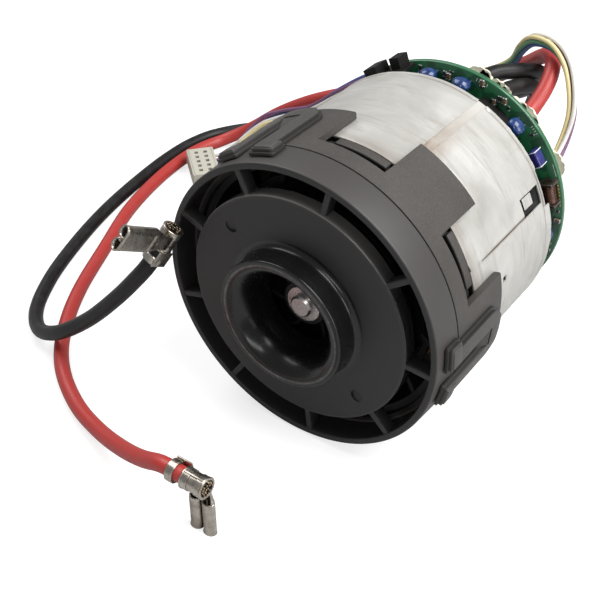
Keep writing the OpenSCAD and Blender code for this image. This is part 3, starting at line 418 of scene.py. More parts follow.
def rod(name, radius, low, high, place, sides=24, bevel=0.1, hollow=0.0):
    """A round bar or tube along a matrix's z, from low to high."""
    profile = [(radius, low), (radius, high)]
    if bevel > 0:
        profile = [(radius - bevel, low), (radius, low + bevel),
                   (radius, high - bevel), (radius - bevel, high)]
    if hollow > 0:
        profile = [(hollow, low)] + profile + [(hollow, high)]
    n = len(profile)
    faces = band_faces(sides, n, ring=hollow > 0)
    if hollow <= 0:
        faces += [tuple(k * n for k in range(sides)), tuple(k * n + n - 1 for k in reversed(range(sides)))]
    return mesh_piece(name, revolved(place, profile, sides), faces)


def axes(x, y, z, origin):
    """Matrix from three directions and an origin."""
    m = Matrix((x, y, z)).transposed().to_4x4()
    m.translation = origin
    return m


def radial_frame(radius, angle, z):
    """Matrix whose x points away from the axis, y turns with the angle, and z runs to the rear."""
    a = math.radians(angle)
    out, back = Vector((math.cos(a), 0, math.sin(a))), Vector((0, 1, 0))
    return axes(out, back.cross(out), back, spot(radius, angle, z))


def frame_of(x_axis, y_axis, origin):
    """Matrix with its y along one direction and its x close to another."""
    y, x = Vector(y_axis).normalized(), Vector(x_axis)
    x = (x - y * x.dot(y)).normalized()
    return axes(x, y, x.cross(y), Vector(origin))


def moved(place, x, y, z):
    """A place shifted along its own directions."""
    return place @ Matrix.Translation((x, y, z))


def rotated(degrees, axis):
    return Matrix.Rotation(math.radians(degrees), 4, axis)


def facing(place):
    """A place's directions without its position."""
    return place.to_3x3().to_4x4()


# ---------------------------------------------------------------- camera and lamps

def make_camera():
    """The photograph's viewpoint: place, heading and focal length."""
    eye = Vector((119.55, -201.2, 204.4))
    ahead = Vector((-0.459, 0.640, -0.616)).normalized()
    right = Vector((0.813, 0.582, 0.0)).normalized()
    data = bpy.data.cameras.new("camera")
    data.lens, data.sensor_width = 63.96, 36.0
    data.clip_start, data.clip_end = 0.01, 20.0
    camera = shown("camera", data)
    camera.matrix_world = axes(right, right.cross(ahead), -ahead, eye * MM)
    bpy.context.scene.camera = camera


def soft_light(name, place, target, size, watts):
    """A rectangular lamp at a place that looks at a target, in metres."""
    data = bpy.data.lights.new(name, "AREA")
    data.shape, data.energy = "RECTANGLE", watts
    data.size, data.size_y = size
    place = Vector(place)
    turn = (Vector(target) - place).to_track_quat("-Z", "Y").to_matrix().to_4x4()
    shown(name, data).matrix_world = Matrix.Translation(place) @ turn


# ---------------------------------------------------------------- materials

def put(tree, socket, value):
    """Sets a socket to a value, or links it to another socket."""
    if isinstance(value, bpy.types.NodeSocket):
        tree.links.new(value, socket)
        return
    if socket.type == "RGBA" and len(value) == 3:
        value = (*value, 1.0)
    socket.default_value = value


def add_node(tree, kind, output=0, **values):
    """Adds a node and returns one output. Sets its options, and its inputs by name,
    or by place as i0, i1 and so on."""
    made = tree.nodes.new(kind)
    for key, value in values.items():
        if key[0] == "i" and key[1:].isdigit():
            put(tree, made.inputs[int(key[1:])], value)
        elif hasattr(made, key):
            setattr(made, key, value)
        else:
            put(tree, made.inputs[key.replace("_", " ")], value)
    return made.outputs[output]


TURNED_R = 38.0  # radius at which a pattern that runs round the motor keeps its size


class Finish:
    """A procedural material, built node by node. Distances are handed in in millimetres."""

    def __init__(self, name):
        self.material = bpy.data.materials.new(name)
        self.material.use_nodes = True
        self.tree = self.material.node_tree
        self.tree.nodes.clear()
        self.out = self.tree.nodes.new("ShaderNodeOutputMaterial")
        self.shader = self.tree.nodes.new("ShaderNodeBsdfPrincipled")
        self.tree.links.new(self.shader.outputs[0], self.out.inputs[0])
        self.place = self.tree.nodes.new("ShaderNodeTexCoord").outputs["Object"]

    def node(self, kind, output=0, **values):
        return add_node(self.tree, "ShaderNode" + kind, output, **values)

    def maths(self, operation, a, b=0.0, c=0.0):
        return self.node("Math", operation=operation, i0=a, i1=b, i2=c)

    def times(self, a, b):
        return self.maths("MULTIPLY", a, b)

    def grain(self, scale, detail=3.0, rough=0.5, where=None, distortion=0.0):
        return self.node("TexNoise", i0=where or self.place, Scale=scale, Detail=detail,
                         Roughness=rough, Distortion=distortion)

    def stretched(self, scale, detail, rough, where, distortion=0.0, size=1.0):
        """Noise drawn out along the directions of a place."""
        return self.grain(size, detail, rough, self.node("Mapping", i0=where, i3=scale), distortion)

    def between(self, value, low, high, out_low=0.0, out_high=1.0):
        return self.node("MapRange", clamp=True, i0=value, i1=low, i2=high, i3=out_low, i4=out_high)

    def reach(self, distance, low, high, out_low=0.0, out_high=1.0):
        """A range of distances."""
        return self.between(distance, low * MM, high * MM, out_low, out_high)

    def near(self, distance, middle, inner, outer, most=1.0):
        """Most at a distance, and nothing further from it than outer."""
        away = self.maths("ABSOLUTE", self.maths("SUBTRACT", distance, middle * MM))
        return self.reach(away, inner, outer, most, 0.0)

    def mixed(self, share, a, b):
        return self.node("Mix", 2, data_type="RGBA", i0=share, i6=a, i7=b)

    def blend(self, share, a, b):
        return self.node("Mix", data_type="FLOAT", i0=share, i2=a, i3=b)

    def bump(self, height, strength, depth, normal=None):
        over = {} if normal is None else {"Normal": normal}
        return self.node("Bump", Strength=strength, Distance=depth * MM, Height=height, **over)

    def rounded_edges(self, radius):
        return self.node("Bevel", samples=4, Radius=radius * MM) if radius else None

    def apart(self, where=None):
        split = self.tree.nodes.new("ShaderNodeSeparateXYZ")
        put(self.tree, split.inputs[0], where or self.place)
        return split.outputs

    def from_axis(self):
        x, y, z = self.apart()
        return self.maths("SUBTRACT", x, AXIS_X * MM), y, self.maths("SUBTRACT", z, AXIS_H * MM)

    def radius(self):
        """Distance from the motor's axis."""
        dx, _, dz = self.from_axis()
        return self.maths("SQRT", self.maths("ADD", self.times(dx, dx), self.times(dz, dz)))

    def depth(self):
        """Distance behind the cover's front edge."""
        return self.maths("SUBTRACT", self.apart()[1], FRONT_Y * MM)

    def turned_place(self):
        """Way round the axis and along it, as a vector that a pattern can follow."""
        dx, y, dz = self.from_axis()
        arc = self.times(self.maths("ARCTAN2", dz, dx), TURNED_R * MM)
        return self.node("CombineXYZ", i0=arc, i1=y, i2=0.0)

    def set(self, **values):
        for key, value in values.items():
            put(self.tree, self.shader.inputs[key.replace("_", " ")], value)
        return self.material


def darker(colour, share):
    return tuple(c * share for c in colour)


def moulded(name, colour, rough, dust=0.06, edge=0.25, worn=None, sheen=0.4, inner=0.0, painted_shade_below=0.0):
    """Satin moulded plastic: fine speckle and grain, a little dust and faint rubbed marks.
    Painted shade darkens it below a given radius, as on a clip's sides under its top, and within a radius inner
    as far back as the neck bands."""
    f = Finish(name)
    broad, speckle, fine = f.grain(70.0, 4.0, 0.6), f.grain(2400.0, 2.0, 0.8), f.grain(5200.0, 2.0, 0.6)
    rubs = f.stretched((0.35, 2.2, 0.7), 5.0, 0.7, f.place, 0.6, 900.0)
    light = worn or tuple(min(1.0, c * 2.2 + 0.02) for c in colour)
    base = f.mixed(f.between(broad, 0.40, 0.70, 0.0, dust * 2), colour, light)
    base = f.mixed(f.between(speckle, 0.45, 0.75, 0.0, dust * 5), base, light)
    base = f.mixed(f.between(rubs, 0.6, 0.75, 0.0, dust * 3), base, light)
    # Painted shade on a clip's sides, below the radius of its top.
    if painted_shade_below:
        side = f.reach(f.radius(), painted_shade_below - 0.4, painted_shade_below - 0.1, 0.75, 0.0)
        base = f.mixed(side, base, darker(colour, 0.3))
    # Painted shade in the groove within a radius inner, as far back as the neck bands.
    if inner:
        painted_groove_shade = f.times(f.reach(f.radius(), inner, inner + 0.6, 1.0, 0.0),
                         f.reach(f.depth(), NECK_BAND_Z + 0.1, NECK_BAND_Z + 0.5, 1.0, 0.0))
        base = f.mixed(painted_groove_shade, base, darker(colour, 0.12))
    roughness = f.between(speckle, 0.3, 0.7, rough - 0.07, rough + 0.07)
    normal = f.bump(fine, 0.25, 0.02, f.rounded_edges(edge))
    return f.set(Base_Color=base, Roughness=roughness, Normal=normal, Specular_IOR_Level=sheen)


def cover_plastic():
    """Black plastic of the fan cover: matt on the disc, with painted light making the rim's side paler, polished and
    darker on the inlet, worn and with a painted highlight at the lip, and with a painted highlight along the disc's
    upper edge."""
    f = Finish("cover_plastic")
    radius = f.radius()
    speckle, fine = f.grain(2400.0, 2.0, 0.8), f.grain(5200.0, 2.0, 0.6)
    scuffs = f.stretched((150.0, 900.0, 1.0), 5.0, 0.7, f.turned_place(), 0.5)
    # The rim's side is paler than the disc: painted light on the side that faces the lamps.
    side = f.reach(radius, FRONT_R - 0.4, FRONT_R)
    inlet = f.reach(radius, COLLAR_R + 1.7, COLLAR_R + 2.1, 1.0, 0.0)
    # A painted highlight along the disc's rounded edge, near its top only.
    edge = f.times(f.near(radius, DISC_R - 0.12, 0.1, 0.3), f.reach(f.apart()[2], 56.0, 70.0, 0.0, 0.7))
    # A thin pale line on the lip, partly wear and partly a painted highlight.
    lip = f.times(f.near(radius, LIP_R, 0.1, 0.45),
                  f.reach(f.depth(), 0.3 - COLLAR_H, 0.7 - COLLAR_H, 1.0, 0.0))
    base = f.mixed(side, (0.0160, 0.0145, 0.0152), (0.045, 0.041, 0.039))
    for share, colour in ((f.between(speckle, 0.45, 0.75, 0.0, 0.3), (0.040, 0.038, 0.037)),
                          (inlet, (0.0055, 0.0055, 0.0060)), (edge, (0.16, 0.155, 0.15)),
                          (f.times(lip, f.between(scuffs, 0.35, 0.65, 0.1, 0.5)), (0.22, 0.21, 0.20))):
        base = f.mixed(share, base, colour)
    rough = f.blend(inlet, f.between(speckle, 0.3, 0.7, 0.42, 0.56), f.between(scuffs, 0.3, 0.75, 0.16, 0.32))
    rough = f.blend(f.near(radius, DISC_R - 0.2, 0.2, 0.6), rough, 0.22)
    normal = f.bump(fine, f.between(inlet, 0.0, 1.0, 0.30, 0.04), 0.02)
    return f.set(Base_Color=base, Roughness=rough, Normal=normal, Specular_IOR_Level=0.45)


def metal(name, colour, rough, lines=(1.0, 1.0, 1.0), tint=None, tone=0.25, metallic=1.0, edge=0.0):
    """Bright metal with drawing lines along one direction and stained patches."""
    f = Finish(name)
    patch = f.grain(420.0, 4.0, 0.6)
    streak = f.stretched(lines, 4.0, 0.6, f.place, size=700.0)
    base = f.mixed(f.between(patch, 0.4, 0.75, 0.0, tone), colour, tint or darker(colour, 0.6))
    roughness = f.between(streak, 0.3, 0.7, rough - 0.08, rough + 0.1)
    return f.set(Base_Color=base, Roughness=roughness, Metallic=metallic,
                 Normal=f.bump(streak, 0.25, 0.02, f.rounded_edges(edge)))


def insulation(name, colour, rough=0.42, sheen=0.5):
    """Soft plastic wire cover with faint pulled streaks and finger marks."""
    f = Finish(name)
    marks, fine = f.grain(260.0, 4.0, 0.6), f.grain(2600.0, 3.0, 0.6)
    pulled = tuple(min(1.0, c * 0.75 + 0.03) for c in colour)
    return f.set(Base_Color=f.mixed(f.between(marks, 0.45, 0.75, 0.0, 0.35), colour, pulled),
                 Roughness=f.between(marks, 0.3, 0.7, rough - 0.06, rough + 0.1),
                 Normal=f.bump(fine, 0.15, 0.03), Specular_IOR_Level=sheen, Coat_Weight=0.04)


def glossy(name, colour, dark, rough, scale=900.0):
    """Dipped or potted parts: glossy skin with uneven colour."""
    f = Finish(name)
    cloud = f.grain(scale, 3.0, 0.55)
    return f.set(Base_Color=f.mixed(f.between(cloud, 0.35, 0.7), colour, dark), Roughness=rough,
                 Normal=f.bump(cloud, 0.2, 0.05), Coat_Weight=0.4)


def sheet_metal():
    """The thin sheet round the motor: pale, satin, with long soft streaks and dull patches.
    Its front edge is dirty, its hem's groove has a dark line of painted shade, a brown line of painted shade runs
    along the slit, and it is stained brown beside the strip."""
    f = Finish("creased_sheet")
    round_it, depth = f.turned_place(), f.depth()
    arc = f.apart(round_it)[0]
    long_marks = f.stretched((40.0, 330.0, 1.0), 5.0, 0.62, round_it, 1.2)
    patch = f.stretched((62.0, 80.0, 1.0), 4.0, 0.55, round_it, 0.8)
    cross = f.stretched((420.0, 60.0, 1.0), 5.0, 0.65, round_it, 0.6)
    front = f.times(f.reach(depth, HOUSING_Z, HOUSING_Z + 4.5, 0.8, 0.0),
                    f.between(patch, 0.3, 0.6, 0.3, 1.0))
    # A brown line of painted shade along the slit, fading in towards the front.
    slit = f.times(f.near(arc, math.radians(SLIT_ANGLE - 360) * TURNED_R, 0.2, 0.7, 0.75),
                   f.reach(depth, 24.0, 34.0))
    slit = f.times(slit, f.reach(depth, WINDOW_FRONT, WINDOW_FRONT + 0.2, 1.0, 0.0))
    seam = f.times(f.near(arc, math.radians(SHEET_START - STRIP_ARC) * TURNED_R, 0.6, 3.8, 0.70),
                   f.reach(depth, 34.0, 52.0, 1.0, 0.0))
    base = f.mixed(f.between(patch, 0.35, 0.70), (0.535, 0.525, 0.500), (0.41, 0.398, 0.370))
    for share, colour in (
            (f.between(long_marks, 0.53, 0.70, 0.0, 0.6), (0.30, 0.285, 0.262)),
            (f.between(cross, 0.62, 0.80, 0.0, 0.25), (0.34, 0.31, 0.27)), (front, (0.25, 0.22, 0.19)),
            (slit, (0.16, 0.125, 0.09)), (seam, (0.30, 0.245, 0.20)),
            # The hem's dark line: painted shade in its groove.
            (f.near(depth, HEM_Z, 0.15, 0.4, 0.55), (0.20, 0.18, 0.16))):
        base = f.mixed(share, base, colour)
    normal = f.bump(long_marks, 0.6, 0.16, f.bump(f.grain(2600.0, 3.0, 0.7), 0.2, 0.02))
    return f.set(Base_Color=base, Roughness=f.between(long_marks, 0.3, 0.75, 0.40, 0.58), Metallic=0.35,
                 Normal=normal)


def strip_tape():
    """The strip between the sheet's ends: pale, stained brown towards the front and a little at the rear."""
    f = Finish("strip_tape")
    stain = f.stretched((330.0, 130.0, 1.0), 4.0, 0.6, f.turned_place(), 0.5)
    share = f.times(f.between(stain, 0.25, 0.60, 0.40, 1.0), f.reach(f.depth(), 34.0, 58.0, 1.0, 0.12))
    base = f.mixed(share, (0.485, 0.475, 0.45), (0.25, 0.195, 0.15))
    return f.set(Base_Color=base, Roughness=0.6, Metallic=0.1, Normal=f.bump(stain, 0.3, 0.06))


def board_mask():
    """Green circuit board: tracks under the mask as raised lines, a paler cut edge."""
    f = Finish("board_green")
    flow = f.grain(210.0, 2.0, 0.4)
    base = f.mixed(f.between(flow, 0.46, 0.5), (0.005, 0.042, 0.017), (0.010, 0.080, 0.032))
    rim = f.reach(f.radius(), BOARD_R - 0.3, BOARD_R - 0.1)
    base = f.mixed(rim, base, (0.030, 0.130, 0.060))
    corner = f.reach(f.depth(), BOARD_BACK - 0.45, BOARD_BACK - 0.25)
    base = f.mixed(f.times(rim, corner), base, (0.34, 0.42, 0.32))
    normal = f.bump(f.between(flow, 0.47, 0.49), 0.4, 0.04)
    return f.set(Base_Color=base, Roughness=0.28, Normal=normal, Coat_Weight=0.25)


def banded(name, scale, waver, start, dark, light, rough, metallic, relief, depth):
    """Rows one behind the other along the shaft: turns of wire, or steel sheets seen edge-on."""
    f = Finish(name)
    rows = f.node("TexWave", 1, i0=f.place, Scale=scale, Distortion=waver, Detail=2.0, wave_type="BANDS",
                  bands_direction="Y")
    return f.set(Base_Color=f.mixed(f.between(rows, start, 0.8), dark, light), Roughness=rough,
                 Metallic=metallic, Normal=f.bump(rows, relief, depth))


COVER_PLASTIC = cover_plastic()
# Bracket plastic, with painted shade in the groove by the ring, as far back as the neck bands.
BRACKET_PLASTIC = moulded("bracket_plastic", (0.040, 0.036, 0.0335), 0.55, 0.10, 0.35, inner=37.2)
# Clip plastic, with painted shade on the clips' sides below their tops.
CLIP_PLASTIC = moulded("clip_plastic", (0.046, 0.043, 0.041), 0.50, 0.07, 0.0, painted_shade_below=RING_R + CLIP_T)
HOUSING_PLASTIC = moulded("housing_plastic", (0.0065, 0.006, 0.006), 0.5, 0.03, 0.3, sheen=0.2)
IMPELLER_PLASTIC = moulded("impeller_plastic", (0.004, 0.004, 0.0045), 0.38, 0.03, 0.2, sheen=0.25)
CHIP_PLASTIC = moulded("chip_plastic", (0.02, 0.02, 0.021), 0.45, 0.05, 0.0)
TAN_CERAMIC = moulded("tan_ceramic", (0.13, 0.085, 0.055), 0.42, 0.05, 0.0)
# Dark brown-grey instead of the insulators' cream: painted shade deep inside the motor, seen through the slots.
INSULATOR_PLASTIC = moulded("insulator_plastic", (0.06, 0.052, 0.042), 0.5, 0.05, 0.2)
PLUG_PLASTIC = moulded("plug_plastic", (0.43, 0.415, 0.355), 0.42, 0.05, 0.0, (0.32, 0.30, 0.24))
BAND_FIBRE = moulded("band_fibre", (0.03, 0.03, 0.03), 0.35, 0.04, 0.0)
PALE_MARK = moulded("pale_mark", (0.72, 0.73, 0.68), 0.5, 0.02, 0.0, (0.5, 0.5, 0.46))
SHEET_METAL, STRIP_TAPE, BOARD_GREEN = sheet_metal(), strip_tape(), board_mask()
# Dark varnished copper, darkened further as painted shade deep inside the motor.
COPPER = banded("winding_copper", 420.0, 0.6, 0.1, (0.12, 0.040, 0.016), (0.34, 0.135, 0.060),
                0.32, 0.85, 0.7, 0.15)
LAMINATED = banded("laminated_steel", 520.0, 0.2, 0.2, (0.16, 0.16, 0.165), (0.36, 0.365, 0.37),
                   0.42, 0.9, 0.5, 0.08)
STRANDS = metal("tinned_strands", (0.42, 0.34, 0.25), 0.34, tint=(0.26, 0.17, 0.10), tone=0.5)
CHOKE_WIRE = metal("choke_wire", (0.085, 0.040, 0.027), 0.32, tint=(0.05, 0.025, 0.02), tone=0.5,
                   metallic=0.6)
TINNED = metal("tinned_metal", (0.52, 0.485, 0.435), 0.27, (1.0, 1.0, 0.2), (0.24, 0.19, 0.135), 0.7, 0.97)
BRIGHT_STEEL = metal("bright_steel", (0.46, 0.44, 0.43), 0.28, (1.0, 0.15, 1.0), (0.42, 0.40, 0.38), 0.4)
BEARING_STEEL = metal("bearing_steel", (0.72, 0.72, 0.73), 0.16, tone=0.15)
SCREW_STEEL = metal("screw_steel", (0.60, 0.60, 0.60), 0.3, tone=0.3)
SOLDER = metal("solder", (0.50, 0.50, 0.49), 0.30, tint=(0.45, 0.45, 0.44), tone=0.3)
GOLD_PADS = metal("gold_pads", (0.70, 0.44, 0.16), 0.3, tone=0.3)
BRASS = metal("turned_brass", (0.72, 0.52, 0.24), 0.3, (1.0, 0.2, 1.0), None, 0.3, 1.0, 0.2)
MAGNET_GREY = metal("magnet_grey", (0.20, 0.20, 0.21), 0.5, tone=0.4, metallic=0.7, edge=0.2)
RED_COVER = insulation("red_cover", (0.39, 0.030, 0.025))
BLACK_COVER = insulation("black_cover", (0.0080, 0.0070, 0.0073), sheen=0.3)
THIN_COVERS = {colour: insulation("thin_" + colour, shade) for colour, shade in (
    ("white", (0.66, 0.64, 0.60)), ("violet", (0.16, 0.07, 0.15)), ("blue", (0.05, 0.09, 0.26)),
    ("green", (0.08, 0.22, 0.11)), ("yellow", (0.66, 0.56, 0.29)))}
SEALANT = glossy("sealant", (0.84, 0.79, 0.66), (0.72, 0.65, 0.50), 0.38, 700.0)
CAP_BLUE = glossy("cap_blue", (0.016, 0.055, 0.19), (0.005, 0.016, 0.08), 0.26)
FILM_BLUE = glossy("film_blue", (0.034, 0.034, 0.20), (0.014, 0.015, 0.09), 0.32)
CHOKE_BROWN = glossy("choke_brown", (0.032, 0.021, 0.016), (0.014, 0.009, 0.007), 0.3, 1500.0)


# ---------------------------------------------------------------- copies made with geometry nodes

class Repeat:
    """A geometry node tree with named inputs: copies of one unit, made real and given one material."""

    def __init__(self, name, unit, material):
        self.name, self.unit = name, unit
        self.tree = bpy.data.node_groups.new(name, "GeometryNodeTree")
        for way in ("INPUT", "OUTPUT"):
            self.tree.interface.new_socket("Geometry", in_out=way, socket_type="NodeSocketGeometry")
        self.start = self.tree.nodes.new("NodeGroupInput")
        self.values = {}
        self.unit_input = self.given("Unit", "Object", unit)
        self.skin_input = self.given("Material", "Material", material)

    def given(self, label, kind, value):
        """A named input of the tree; returns the socket that carries it."""
        made = self.tree.interface.new_socket(label, in_out="INPUT", socket_type="NodeSocket" + kind)
        self.values[made.identifier] = value
        return self.start.outputs[label]

    def node(self, kind, output=0, **values):
        return add_node(self.tree, kind, output, **values)

    def turn_about(self, axis, degrees):
        """A rotation about one axis from an angle in degrees."""
        angle = self.node("ShaderNodeMath", operation="RADIANS", i0=degrees)
        euler = self.node("ShaderNodeCombineXYZ", **{"i%d" % axis: angle})
        return self.node("FunctionNodeEulerToRotation", i0=euler)

    def made(self, points, turn=None, size=None, base=None):
        unit = self.node("GeometryNodeObjectInfo", "Geometry", Object=self.unit_input, As_Instance=True)
        extra = {key: value for key, value in (("Rotation", turn), ("Scale", size)) if value is not None}
        copies = self.node("GeometryNodeInstanceOnPoints", Points=points, Instance=unit, **extra)
        whole = self.node("GeometryNodeRealizeInstances", Geometry=copies)
        painted = self.node("GeometryNodeSetMaterial", Geometry=whole, Material=self.skin_input)
        end = self.tree.nodes.new("NodeGroupOutput")
        self.tree.links.new(painted, end.inputs[0])
        piece = shown(self.name, base or bpy.data.meshes.new(self.name))
        mod = piece.modifiers.new("copies", "NODES")
        mod.node_group = self.tree
        for key, value in self.values.items():
            mod[key] = value
        settled(piece)
        bpy.data.objects.remove(self.unit)
        return piece


def around(name, unit, material, count, first, step=None):
    """Copies of a unit turned about the motor's axis. The unit is drawn at angle 0."""
    centre = Vector((AXIS_X, FRONT_Y, AXIS_H)) * MM
    unit.data.transform(Matrix.Translation(-centre))
    work = Repeat(name, unit, material)
    number = work.given("Count", "Int", count)
    start = work.given("First angle", "Float", float(first))
    gap = work.given("Step", "Float", float(step or 360.0 / count))
    place = work.given("Centre", "Vector", tuple(centre))
    points = work.node("GeometryNodePoints", Count=number, Position=place)
    index = work.node("GeometryNodeInputIndex")
    angle = work.node("ShaderNodeMath", operation="MULTIPLY_ADD", i0=index, i1=gap, i2=start)
    back = work.node("ShaderNodeMath", operation="MULTIPLY", i0=angle, i1=-1.0)
    return work.made(points, work.turn_about(1, back))


def in_row(name, unit, material, count, start, step):
    """Copies of a unit along a straight row, start and step in millimetres."""
    work = Repeat(name, unit, material)
    number = work.given("Count", "Int", count)
    first = work.given("Start", "Vector", tuple(Vector(start) * MM))
    gap = work.given("Step", "Vector", tuple(Vector(step) * MM))
    line = work.node("GeometryNodeMeshLine", mode="OFFSET", Count=number, Start_Location=first, Offset=gap)
    return work.made(line)


def scattered(name, unit, material, base, seed, spacing, quarter_turns=True, spread=0.25):
    """Copies of a unit over the faces of a base mesh, at least a spacing apart, standing on the faces."""
    work = Repeat(name, unit, material)
    number = work.given("Seed", "Int", seed)
    gap = work.given("Spacing", "Float", spacing * MM)
    most = work.given("Density", "Float", 1.0 / (spacing * MM) ** 2)
    low = work.given("Smallest", "Float", 1.0 - spread)
    high = work.given("Largest", "Float", 1.0 + spread)
    spots = work.tree.nodes.new("GeometryNodeDistributePointsOnFaces")
    spots.distribute_method = "POISSON"
    for label, value in (("Mesh", work.start.outputs["Geometry"]), ("Distance Min", gap),
                         ("Density Max", most), ("Seed", number)):
        work.tree.links.new(value, spots.inputs[label])
    share = work.node("FunctionNodeRandomValue", 1, data_type="FLOAT", i2=0.0, i3=4.0, i8=number)
    if quarter_turns:
        share = work.node("ShaderNodeMath", operation="FLOOR", i0=share)
    angle = work.node("ShaderNodeMath", operation="MULTIPLY", i0=share, i1=90.0)
    turn = work.node("FunctionNodeRotateRotation", rotation_space="LOCAL", Rotation=spots.outputs["Rotation"],
                     Rotate_By=work.turn_about(2, angle))
    size = work.node("FunctionNodeRandomValue", 1, data_type="FLOAT", i2=low, i3=high, i8=number)
    return work.made(spots.outputs["Points"], turn, size, base)


# ---------------------------------------------------------------- further shapes

def fitted(piece, slot, *nodes, body="motor_body"):
    """Lets a finished piece ride a body, names its material slot, and lets it stand for CAD nodes."""
    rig.ride(piece, body)
    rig.slot(piece, slot)
    if nodes:
        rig.replaces(piece, *nodes)
    return piece


def carved(piece, cutters):
    """Cuts other pieces out of a piece."""
    for cutter in cutters:
        mod = piece.modifiers.new("cut", "BOOLEAN")
        mod.operation, mod.solver, mod.object = "DIFFERENCE", "EXACT", cutter
    settled(piece, 30.0)
    for cutter in cutters:
        bpy.data.objects.remove(cutter)
    return piece


def bent_sheet(name, columns, rows, kept, reach, thickness):
    """Thin sheet bent round the axis. Cells lie between angles and places along it, all or where kept allows;
    reach gives the outer radius and the true place along the axis of each corner."""
    points, faces, m = [], [], len(rows)
    for a in columns:
        for z in rows:
            r, true_z = reach(a, z)
            points += [spot(r, a, true_z), spot(r - thickness, a, true_z)]
    across, down = ([(p + q) / 2 for p, q in zip(line, line[1:])] for line in (columns, rows))
    cells = [(i, j) for i, a in enumerate(across) for j, z in enumerate(down) if kept is None or kept(a, z)]
    present = set(cells)
    for i, j in cells:
        ring = [(i, j), (i + 1, j), (i + 1, j + 1), (i, j + 1)]
        outer = [(p * m + q) * 2 for p, q in ring]
        faces += [tuple(outer), tuple(k + 1 for k in reversed(outer))]
        beyond = [(i, j - 1), (i + 1, j), (i, j + 1), (i - 1, j)]
        for k, cell in enumerate(beyond):
            if cell not in present:
                p, q = outer[k], outer[(k + 1) % 4]
                faces.append((q, p, p + 1, q + 1))
    return mesh_piece(name, points, faces, 32.0)


def steps_between(low, high, step, extra=()):
    """Even steps with extra places among them."""
    count = max(1, round((high - low) / step))
    even = [low + (high - low) * k / count for k in range(count + 1)]
    near = [v for v in even if all(abs(v - e) > step * 0.3 for e in extra)]
    return sorted(set(near) | set(extra) | {low, high})


def lofted(name, sections, sharp=35.0):
    """A solid through closed outlines with equal numbers of points."""
    n, rows = len(sections[0]), len(sections)
    ends = [tuple(reversed(range(n))), tuple((rows - 1) * n + i for i in range(n))]
    points = [p for section in sections for p in section]
    return mesh_piece(name, points, band_faces(rows, n, closed=False) + ends, sharp)


def thickened(path, thickness):
    """A closed outline a thickness wide along an open 2-D path."""
    left, right = [], []
    for i, p in enumerate(path):
        ahead = Vector(path[min(i + 1, len(path) - 1)]) - Vector(path[max(i - 1, 0)])
        side = Vector((-ahead.y, ahead.x)).normalized() * (thickness / 2)
        left.append(Vector(p) + side)
        right.append(Vector(p) - side)
    return left + right[::-1]


def lump(name, centre, size, rough, seed, detail=4, level=None):
    """A rounded body with an uneven skin, cut flat at a level along Y if one is given."""
    bm = bmesh.new()
    bmesh.ops.create_icosphere(bm, subdivisions=detail, radius=1.0)
    for v in bm.verts:
        p = Vector((v.co.x * size[0], v.co.y * size[1], v.co.z * size[2]))
        away = Vector(centre) + p + Vector((seed * 7.3, 0, 0))
        p += v.co * (rough * noise.noise(away * 0.45) + rough * 0.45 * noise.noise(away * 1.3))
        p += Vector(centre)
        if level is not None:
            p.y = max(p.y, level)
        v.co = p * MM
    piece = edited(name, bm)
    finish_mesh(piece.data, 60.0)
    return piece


def board_patch(name, sectors, z, rearward):
    """Faces on the board for parts to stand on: sectors of (inner, outer radius, first, last angle)."""
    points, faces = [], []
    for r0, r1, a0, a1 in sectors:
        count = max(1, int((a1 - a0) / 6))
        for k in range(count):
            b0, b1 = a0 + (a1 - a0) * k / count, a0 + (a1 - a0) * (k + 1) / count
            start = len(points)
            points += [spot(r0, b0, z), spot(r1, b0, z), spot(r1, b1, z), spot(r0, b1, z)]
            corner = (start, start + 1, start + 2, start + 3)
            faces.append(tuple(reversed(corner)) if rearward else corner)
    return mesh_of(name, points, faces)


# ---------------------------------------------------------------- fan cover and clips

def fan_cover():
    """Slotted front cover: inlet nozzle and disc with a skirt, rim, and nine ribs between them."""
    mouth, steps, bell = COLLAR_R - COVER_EDGE - LIP_W, 24, []
    for k in range(2, steps):
        a = math.pi / 2 * k / steps
        bell.append((THROAT_R + (mouth - THROAT_R) * (1 - math.sin(a)),
                     THROAT_DEPTH - (THROAT_DEPTH + COLLAR_H) * math.cos(a), 0))
    nozzle = turned("cover_nozzle", softened(
        [(mouth, -COLLAR_H, 0.45)] + bell + [
            (THROAT_R, THROAT_DEPTH, 0.3), (THROAT_R + NOZZLE_T, THROAT_DEPTH, 0.3),
            (THROAT_R + NOZZLE_T, THROAT_DEPTH - 2, 0), (THROAT_R + 2 * NOZZLE_T, DISC_T, 0),
            (DISC_R - SKIRT_T, DISC_T, 0.3), (DISC_R - SKIRT_T, SKIRT_DEPTH, 0.2), (DISC_R, SKIRT_DEPTH, 0.2),
            (DISC_R, 0, 0.5), (COLLAR_R, 0, COLLAR_FILLET), (COLLAR_R, -COLLAR_H, 0.5)]), 192)
    leaning = [radial_frame(DIMPLE_AT, angle, 0) @ rotated(DIMPLE_LEAN, "Y") for angle in DIMPLE_ANGLES]
    carved(nozzle, [rod("dimple_cutter", DIMPLE_R, -2.0, DIMPLE_DEPTH, place, 32, 0) for place in leaning])
    rim = turned("cover_rim", softened([
        (SLOT_R, 0, 0.4), (FRONT_R, 0, 0.6), (RING_R, RING_Z - PARTING, 0.3),
        (SLOT_R, RING_Z - PARTING, 0.2)]), 192)
    length = SLOT_R - DISC_R + 1.4
    unit = block("rib_unit", (length, RIB_W, RIB_DEPTH - COVER_EDGE / 2),
                 radial_frame(DISC_R - 0.5 + length / 2, 0, (RIB_DEPTH + COVER_EDGE / 2) / 2), 0.3, 3)
    ribs = around("cover_ribs", unit, COVER_PLASTIC, RIB_N, RIB_ANGLE)
    whole = joined("fan_cover_body", paint([nozzle, rim], COVER_PLASTIC) + [ribs])
    fitted(whole, "dark_plastic", "fan_cover")


